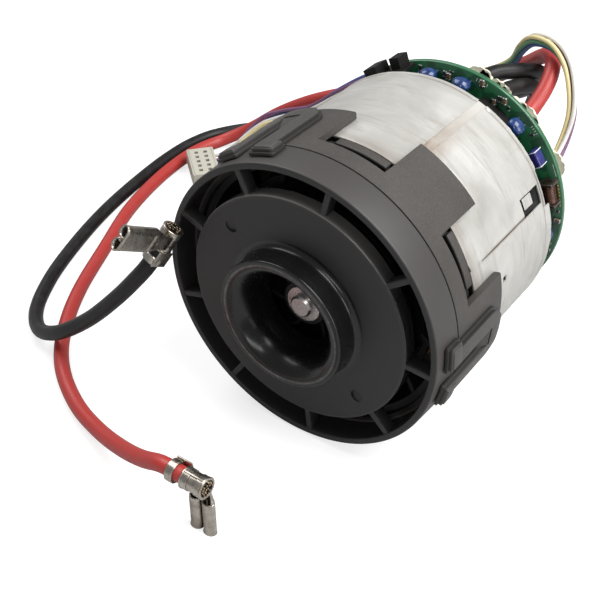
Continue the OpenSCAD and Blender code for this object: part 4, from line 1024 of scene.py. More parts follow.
def clip_outline(grow, low=0.0):
    """Outline of a latch clip as (way from its middle, z): two legs with heads, joined by a bar."""
    side, head = LEG_GAP + LEG_W + grow, LEG_GAP + LEG_W + HEAD_W + grow * 0.5
    right = [(LEG_GAP - grow, CLIP_BACK - BAR_W, 0.5), (LEG_GAP - grow, HEAD_BACK - low, 0.4),
             (head, HEAD_BACK - low, 1.0), (head, HEAD_BACK + HEAD_LEN + low, 0.7),
             (side, HEAD_BACK + HEAD_LEN + low, 0.4), (side, CLIP_BACK - 3.0, 3.0),
             (side - 2.6, CLIP_BACK + grow * 0.5, 2.2)]
    left = [(-t, z, r) for t, z, r in reversed(right)]
    return softened(right + left, 4)


def on_ring(angle, outline):
    """An outline of (way round the ring from an angle, z) as (angle, z)."""
    return [(angle + math.degrees(math.asin(t / (RING_R + 1))), z) for t, z in outline]


def latch_clip(number, angle):
    """One clip: a foot with a ledge, narrower legs on it, and a raised pad on each leg's head."""
    top = RING_R + CLIP_T
    pieces = [wrapped("clip_foot", on_ring(angle, clip_outline(LEDGE_W, 0.5)), RING_R, RING_R + LEDGE_H),
              wrapped("clip_top", on_ring(angle, clip_outline(0.0)), RING_R + LEDGE_H * 0.5, top,
                      bevel=0.28, segments=3)]
    inner, outer = LEG_GAP + 0.5, LEG_GAP + LEG_W + HEAD_W - 0.5
    front, back = HEAD_BACK + 0.35, HEAD_BACK + HEAD_LEN - 0.4
    for s in (-1, 1):
        head = softened([(s * inner, front, 0.3), (s * outer, front, 0.8), (s * outer, back, 0.5),
                         (s * inner, back, 0.3)], 3)
        pieces.append(wrapped("clip_head", on_ring(angle, head), top - 0.3, top + 0.35,
                              bevel=0.25, segments=3))
    clip = joined("latch_clip_%d_body" % number, paint(pieces, CLIP_PLASTIC))
    fitted(clip, "dark_plastic", "latch_clip_%d" % number)


def neck_bands():
    """Bands round the neck between the tabs, from the groove behind the ring back to the sheet."""
    z0, z1 = NECK_BAND_Z, HOUSING_Z - 0.02
    bands = []
    for middle in (-NECK_GAP_AT, NECK_GAP_AT):
        a0, a1 = middle - NECK_BAND_ARC / 2, middle + NECK_BAND_ARC / 2
        bands.append(wrapped("neck_band", [(a0, z0), (a1, z0), (a1, z1), (a0, z1)], NECK_BAND_R - 1.6,
                             NECK_BAND_R, bevel=0.3, segments=3))
    fitted(around("neck_bands", joined("neck_unit", bands), BRACKET_PLASTIC, 3, 55.0), "dark_plastic")


# ---------------------------------------------------------------- sheet round the motor

def rear_edge(angle):
    """Place of the sheet's rear edge: short above the choke, long below it, and ragged there."""
    beta = angle - 360 if angle > 200 else angle
    end = HOUSING_END
    if EDGE_LOW <= beta <= EDGE_HIGH:
        end += -EDGE_SHORT if beta > EDGE_STEP else EDGE_LONG
    return end + (EDGE_ROUGH * noise.noise(Vector((angle * 0.35, 0, 3))) if abs(beta - 10) < 45 else 0.0)


def sheet_reach(angle, z):
    """Outer radius and true place along the axis of a point of the sheet, with its wrinkles and hem."""
    arc = angle * 0.66
    wrinkle = 0.17 * noise.noise(Vector((arc * 0.05, z * 0.30, 1)))
    dent = 0.17 * noise.noise(Vector((arc * 0.09, z * 0.10, 5)))
    fine = 0.05 * noise.noise(Vector((arc * 0.35, z * 0.9, 9)))
    r = SHEET_R - 0.08 + max(-0.24, min(0.16, wrinkle + dent + fine))
    if z > HEM_Z + 0.25:
        r += 0.12
    elif z > HEM_Z - 0.25:
        r -= 0.16
    if z < HOUSING_Z + 0.5:
        r -= 0.22
    ends = min(angle - SHEET_START, SHEET_START + 360 - STRIP_ARC - angle)
    if ends < 1.2:
        r = SHEET_R + 0.08
    if 0 < angle - SLIT_ANGLE < 1.6 and z < WINDOW_FRONT + 1:
        r = max(r, SHEET_R + 0.02)
    flat = HEM_Z - 0.55
    share = max(0.0, (z - flat) / (HOUSING_END - flat))
    return r, z + (rear_edge(angle) - HOUSING_END) * share


def motor_sheet():
    """Thin metal sheet with its window, slit, a small slot, a hem and a ragged rear edge."""
    last = SHEET_START + 360 - STRIP_ARC
    low, high = WINDOW_ANGLE - WINDOW_ARC / 2 + 360, WINDOW_ANGLE + WINDOW_ARC / 2 + 360
    half = math.degrees(SLIT_W / 2 / HOUSING_R)
    columns = steps_between(SHEET_START, last, 1.5, (
        low, high, SLIT_ANGLE - half, SLIT_ANGLE + half, 360 + EDGE_STEP - 0.1, 360 + EDGE_STEP + 0.2,
        NOTCH_FROM, NOTCH_TO, SHEET_START + 0.7, last - 0.7))
    rows = steps_between(HOUSING_Z, HOUSING_END, 1.1, (
        SLIT_FRONT, WINDOW_FRONT, WINDOW_END, NOTCH_FRONT, NOTCH_END, HOUSING_Z + 0.5,
        HEM_Z - 0.25, HEM_Z + 0.05, HEM_Z + 0.35))

    def kept(a, z):
        window = low < a < high and WINDOW_FRONT < z < WINDOW_END
        slit = abs(a - SLIT_ANGLE) < half and SLIT_FRONT < z < WINDOW_FRONT
        small = NOTCH_FROM < a < NOTCH_TO and NOTCH_FRONT < z < NOTCH_END
        return not (window or slit or small)

    sheet = bent_sheet("motor_sheet_skin", columns, rows, kept, sheet_reach, 0.35)
    fitted(paint(sheet, SHEET_METAL), "metal_sheet", "motor_sheet")
    tongue = bent_sheet("window_tongue", steps_between(WINDOW_ANGLE - 1.2, WINDOW_ANGLE + 3.4, 0.8),
                        steps_between(WINDOW_FRONT + 1.3, WINDOW_FRONT + 5.6, 0.8), None,
                        lambda a, z: (HOUSING_R + 0.38 + 0.03 * (z - WINDOW_FRONT), z), 0.2)
    fitted(paint(bevelled(tongue, 0.08), SHEET_METAL), "metal_sheet")
    a0, a1 = WINDOW_ANGLE - WINDOW_ARC / 2 + 0.5, WINDOW_ANGLE + WINDOW_ARC / 2 - 0.4
    hook = [(a0, WINDOW_FRONT + 1.2), (a0 + 2.3, WINDOW_FRONT + 0.6), (a0 + 2.3, WINDOW_END - 3.4),
            (a1, WINDOW_END - 3.4), (a1, WINDOW_END - 0.6), (a0, WINDOW_END - 0.6)]
    hook = wrapped("window_hook", hook, HOUSING_R - 0.2, HOUSING_R + 0.15, 1.0, 0.1)
    fitted(paint(hook, IMPELLER_PLASTIC), "dark_plastic")
    strip = bent_sheet(
        "seam_strip_skin", steps_between(SHEET_START - STRIP_ARC - 0.5, SHEET_START + 0.5, 0.8),
        steps_between(HOUSING_Z, HOUSING_END - 0.1, 1.2), None,
        lambda a, z: (SHEET_R - 0.16 + 0.07 * noise.noise(Vector((a * 0.5, z * 0.14, 2))), z), 0.2)
    fitted(paint(strip, STRIP_TAPE), "strip", "seam_strip")


# ---------------------------------------------------------------- control board

def dipped_capacitor(number, angle):
    """A small dipped capacitor on two wires, which the dip runs a little way down."""
    bottom = BOARD_Z - CAP_LEG
    middle = bottom - CAP_R
    bead = lump("cap_lump", spot(PARTS_AT, 0, middle), (1.75, CAP_R, CAP_R + 0.1), 0.12, number)
    pieces = [paint(bead, CAP_BLUE)]
    for s in (-1, 1):
        place = moved(radial_frame(PARTS_AT, 0, 0), 0, s * CAP_R / 2, 0)
        dip = rod("cap_dip", 0.55, middle + CAP_R * 0.55, bottom + 0.1, place, 16, 0.2)
        wire = rod("cap_wire", LEG_WIRE_R, bottom, BOARD_Z + 0.1, place, 10, 0)
        pieces += [paint(dip, CAP_BLUE), paint(wire, TINNED)]
    whole = joined("capacitor_%d_body" % number, pieces)
    centre = Vector((AXIS_X, 0, AXIS_H)) * MM
    whole.data.transform(Matrix.Translation(centre) @ rotated(-angle, "Y") @ Matrix.Translation(-centre))
    fitted(whole, "capacitor", "capacitor_%d" % number)


def film_capacitor(number, angle):
    """A box-shaped capacitor with a pale band near each end, on two wires."""
    middle = BOARD_Z - CAP_LEG - FILM_H / 2
    place = radial_frame(PARTS_AT, angle, middle)
    pieces = [paint(block("film_body", (CAP_T - 0.2, FILM_W - 1.2, FILM_H - 0.6), place, 0.5, 3), FILM_BLUE)]
    for s in (-1, 1):
        band = moved(place, 0, s * (FILM_W / 2 - 1.0), 0)
        leg = moved(radial_frame(PARTS_AT, angle, 0), 0, s * CAP_R / 2, 0)
        pieces += [paint(block("film_end", (CAP_T - 0.14, 0.24, FILM_H - 0.54), band, 0.08), PALE_MARK),
                   paint(rod("film_wire", LEG_WIRE_R, middle + 1, BOARD_Z + 0.1, leg, 10, 0), TINNED)]
    fitted(joined("capacitor_%d_body" % number, pieces), "capacitor", "capacitor_%d" % number)


def choke():
    """Wound choke: a drum core lying along the board's edge, with its turns side by side."""
    place = radial_frame(PARTS_AT, CHOKE_ANGLE, BOARD_Z - CHOKE_R - COVER_EDGE)
    along = place @ rotated(-90, "X")
    pieces = [rod("choke_core", CHOKE_R * 0.72, -CHOKE_LEN / 2, CHOKE_LEN / 2, along, 24, 0.05)]
    for s in (-1, 1):
        end = moved(place, 0, s * (CHOKE_LEN / 2 - 0.45), 0.1)
        pieces.append(block("choke_end", (2 * CHOKE_R + 0.5, 0.9, 2 * CHOKE_R + 0.7), end, 0.25))
    fitted(joined("choke_body", paint(pieces, CHOKE_BROWN)), "choke_winding", "choke")
    wire_r, sides, parts, count = 0.24, 28, 8, 11
    ring = [(CHOKE_R * 0.86 + wire_r * math.cos(a), wire_r * math.sin(a)) for a in circle(parts)]
    unit = mesh_piece("turn_unit", revolved(facing(along), ring, sides), band_faces(sides, parts), 60.0)
    step = (place.to_3x3() @ Vector((0, 1, 0))) * ((CHOKE_LEN - 2.0) / count)
    start = place.translation - step * (count - 1) / 2
    fitted(in_row("choke_turns", unit, CHOKE_WIRE, count, start, step), "copper")


def chips(name, size, ends, sectors, rearward, seed, spacing, material, spread=0.2):
    """Small surface parts scattered over one side of the board: bodies, and metal ends in the same places."""
    z = BOARD_BACK if rearward else BOARD_Z
    place = Matrix.Translation((0, 0, size[2] / 2))
    units = [("_bodies", block("chip_unit", size, place, 0.08, 1), material)]
    if ends > 0:
        end_size, out = (ends, size[1] + 0.08, size[2] + 0.06), size[0] / 2 - ends / 2 + 0.03
        caps = [block("end_unit", end_size, moved(place, s * out, 0, 0), 0.06, 1) for s in (-1, 1)]
        units.append(("_ends", joined("end_unit", caps), SOLDER))
    for ending, unit, skin in units:
        base = board_patch(name + ending, sectors, z, rearward)
        fitted(scattered(name + ending, unit, skin, base, seed, spacing, True, spread), "board")


def circuit_board():
    """Round green board with a slightly rounded edge, its small parts, pads, marks and solder."""
    z0, z1, edge = BOARD_Z, BOARD_BACK, 0.25
    disc = turned("circuit_board_disc", [
        (0.0, z0), (BOARD_R - edge, z0), (BOARD_R, z0 + edge), (BOARD_R, z1 - edge), (BOARD_R - edge, z1),
        (0.0, z1)], 160, 50.0)
    fitted(paint(disc, BOARD_GREEN), "board", "circuit_board")
    front = [(32.6, 36.2, a, b) for a, b in (
        (57, 77), (89, 95), (104, 108), (42, 47), (-30, -10), (2, 8), (128, 200), (206, 328))]
    rear = [(3.0, 16.2, 0, 360), (26.5, 35.0, 70, 103), (26.5, 35.5, 137, 222), (26.5, 35.5, 258, 342),
            (27.5, 35.5, -12, 12)]
    chips("front_resistors", (1.5, 0.8, 0.5), 0.3, front, False, 11, 1.9, CHIP_PLASTIC)
    chips("front_capacitors", (1.7, 1.0, 0.9), 0.4, front, False, 4, 3.1, TAN_CERAMIC)
    chips("rear_resistors", (1.7, 0.9, 0.5), 0.35, rear, True, 7, 3.0, CHIP_PLASTIC)
    chips("rear_capacitors", (2.1, 1.3, 1.1), 0.45, rear, True, 23, 4.6, TAN_CERAMIC)
    chips("rear_vias", (0.5, 0.5, 0.05), 0, [(4, 34, 0, 360)], True, 31, 2.1, SOLDER, 0.3)
    for name, material, size, radius, lift, bevel, count, first, step in (
            ("gold_pads", GOLD_PADS, (0.9, 0.55, 0.14), 36.2, 0.05, 0.04, 9, 9.6, 1.55),
            ("pale_marks", PALE_MARK, (0.9, 0.18, 0.04), 35.9, 0.01, 0, 5, 73.0, 1.3),
            ("pale_marks_low", PALE_MARK, (0.7, 0.18, 0.04), 36.2, 0.01, 0, 4, 43.5, 1.2)):
        unit = block("pad_unit", size, radial_frame(radius, 0, z0 - lift), bevel, 1)
        fitted(around(name, unit, material, count, first, step), "board")
    outline = block("mark_unit", (0.16, 3.6, 0.04), radial_frame(36.5, CHOKE_ANGLE + 9, z0 - 0.01), 0)
    fitted(paint(outline, PALE_MARK), "board")
    chip_place = frame_of((1, 0, 0.25), (0, 1, 0), spot(8.6, 205, z1 + 0.75))
    fitted(paint(block("main_chip", (7.2, 1.3, 7.2), chip_place), CHIP_PLASTIC), "board")
    for s, side in ((-1, "near"), (1, "far")):
        leg = block("leg_unit", (0.32, 0.3, 1.5), facing(chip_place), 0.06, 1)
        start, across = chip_place @ Vector((-2.8, -0.45, s * 4.0)), chip_place.to_3x3() @ Vector((0.8, 0, 0))
        fitted(in_row("chip_legs_" + side, leg, SOLDER, 8, start, across), "board")


def transistors():
    """Six power transistors on the rear of the board: body, metal tab and three soldered legs each."""
    z, half, count, first = BOARD_BACK, TRANSISTOR_W / 2, 6, 30.0
    body = block("body_unit", (TRANSISTOR_W, TRANSISTOR_W, TRANSISTOR_H),
                 radial_frame(TRANSISTOR_AT, 0, z + TRANSISTOR_H / 2), 0.3, 3)
    fitted(around("transistor_bodies", body, CHIP_PLASTIC, count, first), "black_moulding", "transistors")
    tab = block("tab_unit", (1.9, TRANSISTOR_W - 1.0, 0.9),
                radial_frame(TRANSISTOR_AT + half + 0.7, 0, z + 0.5), 0.12)
    fitted(around("transistor_tabs", tab, TINNED, count, first), "board")
    foot = radial_frame(TRANSISTOR_AT - half - 0.7, 0, z + 0.35)
    legs = [block("leg", (1.7, 0.8, 0.5), moved(foot, 0, k * 2.1, 0), 0.12) for k in (-1, 0, 1)]
    fitted(around("transistor_legs", joined("leg_unit", legs), SOLDER, count, first), "board")


def board_screws():
    """Three screws with domed heads and crossed recesses."""
    place, sides = radial_frame(POST_AT, 0, BOARD_BACK), 32
    profile = [(SCREW_HEAD_R * share, z) for share, z in (
        (1.0, 0.0), (1.0, 0.35), (0.93, 0.85), (0.72, 1.3), (0.4, 1.55), (0.0, 1.6))]
    n = len(profile)
    faces = band_faces(sides, n, ring=False) + [tuple(k * n for k in range(sides))]
    head = mesh_piece("screw_unit", revolved(place, profile, sides), faces, 50.0)
    carved(head, [block("cross", size, moved(place, 0, 0, 1.5), 0)
                  for size in ((2.6, 0.6, 1.7), (0.6, 2.6, 1.7))])
    unit = joined("screw_unit", [head, rod("shank", SCREW_R, -2.0, 0.1, place, 20, 0)])
    fitted(around("screw_heads", unit, SCREW_STEEL, 3, 0.0), "screw_steel", "board_screws")


def wire_sealant():
    """Cream sealant heaped round the wires on the rear of the board, uneven and run together, with a bead
    of lumps near the board's edge."""
    pieces = []
    ends = (RED_ROUTE[0], BLACK_ROUTE[0], LINK_ROUTE[0], LINK_ROUTE[-1])
    heaps = [(x, z, LEAD_D / 2 + 2.1) for x, _, z in ends]
    heaps.append((SIGNAL_ROUTE[0][0], SIGNAL_ROUTE[0][2], BUNDLE_D / 2 + 2.2))
    level = FRONT_Y + BOARD_BACK - 0.05
    for k, (x, z, wide) in enumerate(heaps):
        pieces.append(lump("heap", (x, level, z), (wide, SEALANT_H - 0.1, wide), 0.7, k + 1, 5, level))
        for j in range(4):
            a = 1.7 * j + 0.9 * k
            small = (x + math.cos(a) * wide * 0.75, level, z + math.sin(a) * wide * 0.75)
            if math.hypot(small[0] - AXIS_X, small[2] - AXIS_H) < BOARD_R:
                pieces.append(lump("heap", small, (1.7, 1.3, 1.9), 0.4, 10 + 5 * k + j, 4, level))
    for k in range(15):
        angle = 43.0 + 3.1 * k + 1.2 * math.sin(5.0 * k)
        size = 1.35 + 0.45 * math.sin(2.3 * k)
        middle, high = spot(BOARD_R - 1.9, angle, BOARD_BACK), 1.5 + 0.5 * math.cos(3.1 * k)
        pieces.append(lump("bead", middle, (size, high, size), 0.5, 60 + k, 4, level))
    fitted(joined("wire_sealant_heaps", paint(pieces, SEALANT)), "sealant", "wire_sealant")


# ---------------------------------------------------------------- terminals and plug

def rolled_section(width, curl_r, curl_end, count=16):
    """Outline of the terminal's sheet across its length: a flat middle and two edges rolled up and over."""
    path = []
    wide = curl_r * CURL_SPREAD
    for k in range(count + 1):
        a = math.radians(-90 + (curl_end + 90) * k / count)
        path.append((width / 2 - wide + (wide - METAL_T / 2) * math.cos(a),
                     curl_r + (curl_r - METAL_T / 2) * math.sin(a)))
    return thickened([(-y, z) for y, z in reversed(path)] + path, METAL_T)


def terminal(name, node, origin, along, mouth):
    """Flag terminal: a crimped barrel at the wire's end, and beside it a receptacle with two rolled edges."""
    place = frame_of(mouth, along, origin)
    half, start, middle = CURL_H / 2, MOUTH_AT - RECEPTACLE_LEN, BARREL_LEN / 2
    pieces = []
    for label, stations in (
            ("receptacle", (
                (start, RECEPTACLE_W - 0.2, half, 205), (start + 0.8, RECEPTACLE_W, half, 215),
                (MOUTH_AT - 0.9, RECEPTACLE_W, half, 215), (MOUTH_AT, RECEPTACLE_W + 0.3, half + 0.12, 208))),
            ("shank", (
                (1.2, NECK_W, 0.5, -55), (3.4, NECK_W + 0.2, 0.9, -20),
                (start - 0.9, RECEPTACLE_W - 1.2, 1.1, 25), (start - 0.2, RECEPTACLE_W - 0.4, 1.2, 40),
                (start + 1.0, RECEPTACLE_W - 0.4, 1.2, -60)))):
        sections = [[place @ Vector((x, middle + y, z - BARREL_R)) for y, z in rolled_section(*shape)]
                    for x, *shape in stations]
        pieces.append(bevelled(lofted(label, sections), 0.05, 1))
    barrel, grip_end = place @ rotated(-90, "X"), -GRIP_GAP - GRIP_LEN
    for low, high, squeeze in (
            (0.0, 0.5, 0.12), (0.5, 2.2, 0.0), (2.2, 4.3, -0.22), (4.3, 6.0, 0.0), (6.0, 6.5, 0.12)):
        pieces.append(rod("barrel", BARREL_R + squeeze, low, high, barrel, 40, 0.1, BARREL_R - 0.55))
    seam = moved(place, -BARREL_R - 0.02, middle, 0.4)
    pieces.append(block("seam", (0.3, BARREL_LEN - 0.6, 0.9), seam, 0.14))
    pieces.append(rod("grip", LEAD_D / 2 + 0.75, grip_end, -GRIP_GAP, barrel, 40, 0.22, LEAD_D / 2 + 0.05))
    link = moved(place, 0, (grip_end + 1) / 2 - 0.4, -BARREL_R + METAL_T / 2)
    pieces.append(block("link", (NECK_W, 0.2 - grip_end, METAL_T), link, 0.1))
    bump = moved(place, start - 1.4, middle, -BARREL_R + METAL_T)
    bm = bmesh.new()
    bmesh.ops.create_uvsphere(bm, u_segments=24, v_segments=12, radius=1.0)
    for v in bm.verts:
        v.co = (bump @ Vector((v.co.x * 1.1, v.co.y * 1.1, v.co.z * 0.45))) * MM
    dimple = edited("bump", bm)
    dimple.data.shade_smooth()
    shell = joined(name, paint(pieces + [dimple], TINNED))
    fitted(shell, "tinned_metal", node)
    sides, mouth_r, strand_r = 16, 1.9, 0.27
    rim = revolved(moved(place, 0, BARREL_LEN - 0.7, 0) @ rotated(-90, "X"), [(mouth_r, 0)], sides)
    disc = mesh_of(name + "_strands", rim, [tuple(range(sides))])
    unit = rod("strand_unit", strand_r, -1.4, 1.0, Matrix.Identity(4), 8, 0.06)
    strands = scattered(name + "_strands", unit, STRANDS, disc, 5, 0.52, False, 0.12)
    fitted(strands, "tinned_metal")
    return [shell, strands]


def signal_plug():
    """Five-way plug: two rows of windows with contacts behind them, two ribs along its top, a key at each end
    and a wire entry for each way."""
    length, deep, top = (WAY_N - 1) * WAY_PITCH + 2 * PLUG_END, PLUG_DEPTH / 2, PLUG_H / 2
    place = Matrix.Translation(PLUG_AT) @ rotated(PLUG_TURN, "Z") @ rotated(PLUG_LEAN, "Y")
    body = block("plug", (length, PLUG_DEPTH, PLUG_H), place, 0.3, 3)
    cutters = []
    for k in range(WAY_N):
        x = (k - (WAY_N - 1) / 2) * WAY_PITCH
        for y in (-PLUG_DEPTH / 6, PLUG_DEPTH / 6):
            cutters.append(block("window", (1.3, 1.3, 2.2), moved(place, x, y, top), 0))
        cutters.append(block("mouth", (0.9, 5.0, 1.5), moved(place, x, -deep, 0), 0))
        cutters.append(rod("entry", 0.85, -2.0, 1.0, moved(place, x, deep, 0) @ rotated(-90, "X"), 16, 0))
    pieces = [carved(body, cutters)]
    for y, h in ((0.9 - deep, 0.3), (deep - 0.7, 0.25)):
        pieces.append(block("rib", (length - 0.8, 0.5, 2 * h), moved(place, 0, y, top), 0.12))
    for s in (-1, 1):
        pieces.append(block("key", (0.9, 5.4, 1.1), moved(place, s * length / 2, 0, -0.6), 0.2))
    shell = joined("signal_plug_body", paint(pieces, PLUG_PLASTIC))
    fitted(shell, "plug_plastic", "signal_plug")
    unit = block("contact_unit", (1.0, PLUG_DEPTH - 3.0, 0.5), facing(place), 0.1)
    step = place.to_3x3() @ Vector((WAY_PITCH, 0, 0))
    start = place @ Vector((-(WAY_N - 1) / 2 * WAY_PITCH, 0.3, top - 0.85))
    contacts = in_row("plug_contacts", unit, TINNED, WAY_N, start, step)
    fitted(contacts, "plug_plastic")
    return [shell, contacts]


# ---------------------------------------------------------------- cords

def curve_through(points, step=1.0, floor=None):
    """Points a step apart on one smooth curve through a route."""
    pts = [Vector(p) for p in points]
    pts = [pts[0] * 2 - pts[1]] + pts + [pts[-1] * 2 - pts[-2]]
    out = []
    for i in range(1, len(pts) - 2):
        p0, p1, p2, p3 = pts[i - 1:i + 3]
        t0, t1 = 0.0, math.sqrt((p1 - p0).length)
        t2 = t1 + math.sqrt((p2 - p1).length)
        t3 = t2 + math.sqrt((p3 - p2).length)
        count = max(2, int((p2 - p1).length / step * 2))
        for k in range(count):
            t = t1 + (t2 - t1) * k / count
            a1 = p0 * ((t1 - t) / (t1 - t0)) + p1 * ((t - t0) / (t1 - t0))
            a2 = p1 * ((t2 - t) / (t2 - t1)) + p2 * ((t - t1) / (t2 - t1))
            a3 = p2 * ((t3 - t) / (t3 - t2)) + p3 * ((t - t2) / (t3 - t2))
            b1 = a1 * ((t2 - t) / (t2 - t0)) + a2 * ((t - t0) / (t2 - t0))
            b2 = a2 * ((t3 - t) / (t3 - t1)) + a3 * ((t - t1) / (t3 - t1))
            out.append(b1 * ((t2 - t) / (t2 - t1)) + b2 * ((t - t1) / (t2 - t1)))
    out.append(pts[-2].copy())
    for _ in range(3):
        out[1:-1] = [(a + b * 2 + c) / 4 for a, b, c in zip(out, out[1:], out[2:])]
    if floor is not None:
        for p in out:
            p.z = max(p.z, floor)
    even, carry = [out[0]], 0.0
    for a, b in zip(out, out[1:]):
        length = (b - a).length
        at = step - carry
        while at <= length:
            even.append(a.lerp(b, at / length))
            at += step
        carry = length - (at - step)
    if (even[-1] - out[-1]).length < step * 0.5:
        even[-1] = out[-1]
    else:
        even.append(out[-1])
    return even


def path_length(path):
    return sum((b - a).length for a, b in zip(path, path[1:]))


def path_frames(path):
    """Two directions across a path at each point, carried along without twisting."""
    frames = []
    side = Vector((0, 0, 1))
    for i in range(len(path)):
        ahead = (path[min(i + 1, len(path) - 1)] - path[max(i - 1, 0)]).normalized()
        if i == 0 and abs(ahead.dot(side)) > 0.9:
            side = Vector((1, 0, 0))
        side = (side - ahead * side.dot(ahead)).normalized()
        frames.append((side.copy(), ahead.cross(side)))
    return frames


def swept(name, path, radius, sides=20):
    """A round tube along a path, closed at both ends."""
    return lofted(name, [[p + (u * math.cos(a) + v * math.sin(a)) * radius for a in circle(sides)]
                         for p, (u, v) in zip(path, path_frames(path))], 60.0)


def lead(name, route, material, node, slot):
    """A power lead along its route; returns the piece and its path."""
    path = curve_through(route, 1.2, LEAD_D / 2)
    piece = paint(swept(name, path, LEAD_D / 2), material)
    return fitted(piece, slot, node), path


# Shares of the bundle's length: middle of the arch, middle and half length of the loose part, start and
# length of the fan
ARCH_AT, LOOSE_AT, LOOSE_SPAN, FAN_FROM, FAN_SPAN = 0.17, 0.875, 0.11, 0.93, 0.07


def thin_paths():
    """Thin wires along the bundle's route: a little apart at the board, then close together, a little loose
    before the plug, and fanned out to its entries."""
    middle = curve_through(SIGNAL_ROUTE, 1.2)
    frames, total, turn = path_frames(middle), path_length(middle), math.radians(PLUG_TURN)
    along = Vector((math.cos(turn), math.sin(turn), -math.sin(math.radians(PLUG_LEAN))))
    paths = []
    for k in range(WAY_N):
        start = 2 * math.pi * k / WAY_N
        path, run = [], 0.0
        for i, (p, (u, v)) in enumerate(zip(middle, frames)):
            if i:
                run += (p - middle[i - 1]).length
            share = run / total
            twist = start + 2.4 * math.pi * share
            arch = max(0.0, 1 - abs(share - ARCH_AT) / ARCH_AT)
            loose = max(0.0, 1 - abs(share - LOOSE_AT) / LOOSE_SPAN)
            reach = 0.98 + 0.75 * arch * math.sin(3.0 * k + 1.0)
            spread = p + (u * math.cos(twist) + v * math.sin(twist)) * reach
            spread.z += loose * (1.8 + 0.6 * ((WAY_N - k) % WAY_N))
            near = max(0.0, (share - FAN_FROM) / FAN_SPAN)
            fan = (k - (WAY_N - 1) / 2) * WAY_PITCH
            path.append(spread.lerp(p + along * fan, near * near * (3 - 2 * near)))
        paths.append(path)
    return paths


make_camera()
red_lead, red_path = lead("red_lead_cover", RED_ROUTE, RED_COVER, "red_lead", "red_insulation")
black_lead, black_path = lead("black_lead_cover", BLACK_ROUTE, BLACK_COVER, "black_lead", "black_insulation")
link_lead, link_path = lead("link_wire_cover", LINK_ROUTE, BLACK_COVER, "link_wire", "black_insulation")
thin_wires = []
for (colour, cover), path in zip(THIN_COVERS.items(), thin_paths()):
    wire = paint(swept("signal_wire_" + colour, path, THIN_D / 2, 10), cover)
    thin_wires.append((fitted(wire, "violet_insulation", "signal_wires"), path))

fan_cover()
for number, angle in enumerate(CLIP_ANGLES, 1):
    latch_clip(number, angle)
neck_bands()
motor_sheet()
circuit_board()
for number, angle in enumerate(CAP_ANGLES, 1):
    film_capacitor(number, angle) if number == 4 else dipped_capacitor(number, angle)
choke()
transistors()
board_screws()
wire_sealant()
red_end = terminal("red_terminal_shell", "red_terminal", RED_ROUTE[-1], RED_AXIS, RED_MOUTH)
black_end = terminal("black_terminal_shell", "black_terminal", BLACK_ROUTE[-1], BLACK_AXIS, BLACK_MOUTH)
plug_end = signal_plug()

# Material of each CAD node by a part of its name; a later row goes over an earlier one
for word, material in (
        ("fan_cover", COVER_PLASTIC), ("fan_bracket", BRACKET_PLASTIC), ("latch_clip", CLIP_PLASTIC),
        ("motor_housing", HOUSING_PLASTIC), ("motor_sheet", SHEET_METAL), ("seam_strip", STRIP_TAPE),
        ("core", LAMINATED), ("insulator", INSULATOR_PLASTIC), ("coil", COPPER), ("bearing", BEARING_STEEL),
        ("circuit_board", BOARD_GREEN), ("board_screws", SCREW_STEEL), ("transistors", CHIP_PLASTIC),
        ("choke", CHOKE_BROWN), ("wire_sealant", SEALANT), ("capacitor", CAP_BLUE), ("shaft", BRIGHT_STEEL),
        ("impeller", IMPELLER_PLASTIC), ("impeller_bush", BRIGHT_STEEL), ("magnet", MAGNET_GREY),
        ("magnet_band", BAND_FIBRE), ("balance_ring", BRASS), ("red_lead", RED_COVER),
        ("black_lead", BLACK_COVER), ("link_wire", BLACK_COVER), ("signal_wires", THIN_COVERS["violet"]),
        ("terminal", TINNED), ("signal_plug", PLUG_PLASTIC)):
    for name in CAD:
        if word in name:
            paint(CAD[name], material)

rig.cord(red_lead, exit=red_path[0] * MM, length=path_length(red_path) * MM, diameter=LEAD_D * MM,
        far_end="connector", stiffness="medium", lay="loose", path=[p * MM for p in red_path],
        with_pieces=["red_terminal"] + red_end)
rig.cord(black_lead, exit=black_path[0] * MM, length=path_length(black_path) * MM, diameter=LEAD_D * MM,
        far_end="connector", stiffness="medium", lay="loose", path=[p * MM for p in black_path],
        with_pieces=["black_terminal"] + black_end)
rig.cord(link_lead, exit=link_path[0] * MM, length=path_length(link_path) * MM, diameter=LEAD_D * MM,
        far_end="object", stiffness="medium", lay="loose", path=[p * MM for p in link_path])
for wire, path in thin_wires:
    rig.cord(wire, exit=path[0] * MM, length=path_length(path) * MM, diameter=THIN_D * MM,
            far_end="connector", stiffness="limp", lay="loose", path=[p * MM for p in path],
            with_pieces=["signal_plug"] + plug_end)


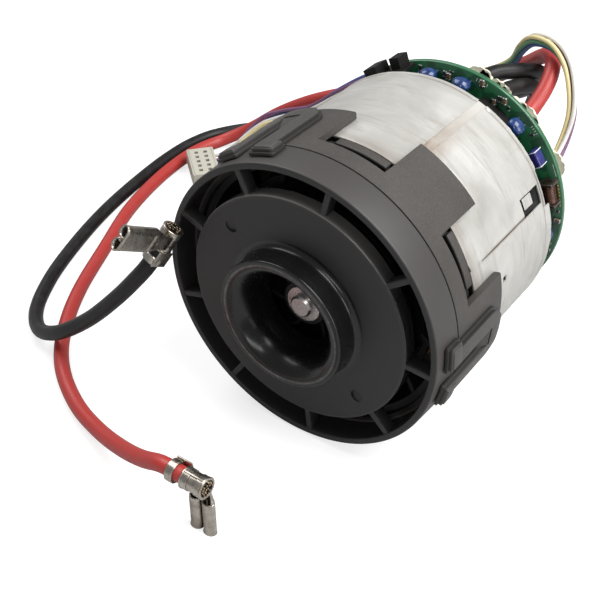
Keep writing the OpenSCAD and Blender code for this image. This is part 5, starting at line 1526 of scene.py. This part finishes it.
def make_floor():
    """A pale floor that stays white in the picture and keeps the shadow."""
    half = 3000.0
    corners = [(x * half, y * half, 0) for x, y in ((-1, -1), (1, -1), (1, 1), (-1, 1))]
    floor = shown("floor", mesh_of("floor", corners, [(0, 1, 2, 3)]))
    f = Finish("pale_floor")
    f.set(Base_Color=(0.45, 0.45, 0.45), Roughness=0.8, Specular_IOR_Level=0.1)
    away = f.node("VectorMath", 1, operation="LENGTH", i0=f.place)
    seen = f.tree.nodes.new("ShaderNodeLightPath").outputs["Is Camera Ray"]
    white = f.times(seen, f.reach(away, 350.0, 1100.0, 0.68, 1.0))
    glow = f.node("Emission", Color=(1, 1, 1), Strength=white)
    f.tree.links.new(f.node("AddShader", i0=f.shader.outputs[0], i1=glow), f.out.inputs[0])
    paint(floor, f.material)
    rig.stage(floor)


def make_light():
    """Soft light from all round, a broad lamp high on the right, and weaker ones low on the right, high on the
    left and in front."""
    world = bpy.data.worlds.new("studio")
    bpy.context.scene.world = world
    world.use_nodes = True
    tree = world.node_tree
    tree.nodes.clear()
    seen = tree.nodes.new("ShaderNodeLightPath").outputs["Is Camera Ray"]
    dim, white = (add_node(tree, "ShaderNodeBackground", Color=(1, 1, 1), Strength=power)
                  for power in (0.30, 1.0))
    both = add_node(tree, "ShaderNodeMixShader", i0=seen, i1=dim, i2=white)
    tree.links.new(both, tree.nodes.new("ShaderNodeOutputWorld").inputs[0])
    soft_light("lamp_high", (0.42, 0.12, 0.72), (0, 0, 0.03), (0.6, 0.55), 8.6)
    soft_light("lamp_side", (0.74, 0.02, 0.24), (0, 0, 0.04), (0.35, 0.35), 1.9)
    soft_light("lamp_left", (-0.50, 0.05, 0.65), (0, 0, 0.03), (0.5, 0.5), 3.0)
    soft_light("lamp_front", (0.30, -0.64, 0.42), (0, 0, 0.04), (0.14, 0.5), 1.2)


make_floor()
make_light()
scene = bpy.context.scene
scene.view_settings.view_transform = "Standard"

seen_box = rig.bounds()
with open("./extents.json", "w") as f:
    json.dump({"cad": [list(c) for c in cad_box], "visual": [list(c) for c in seen_box]}, f)
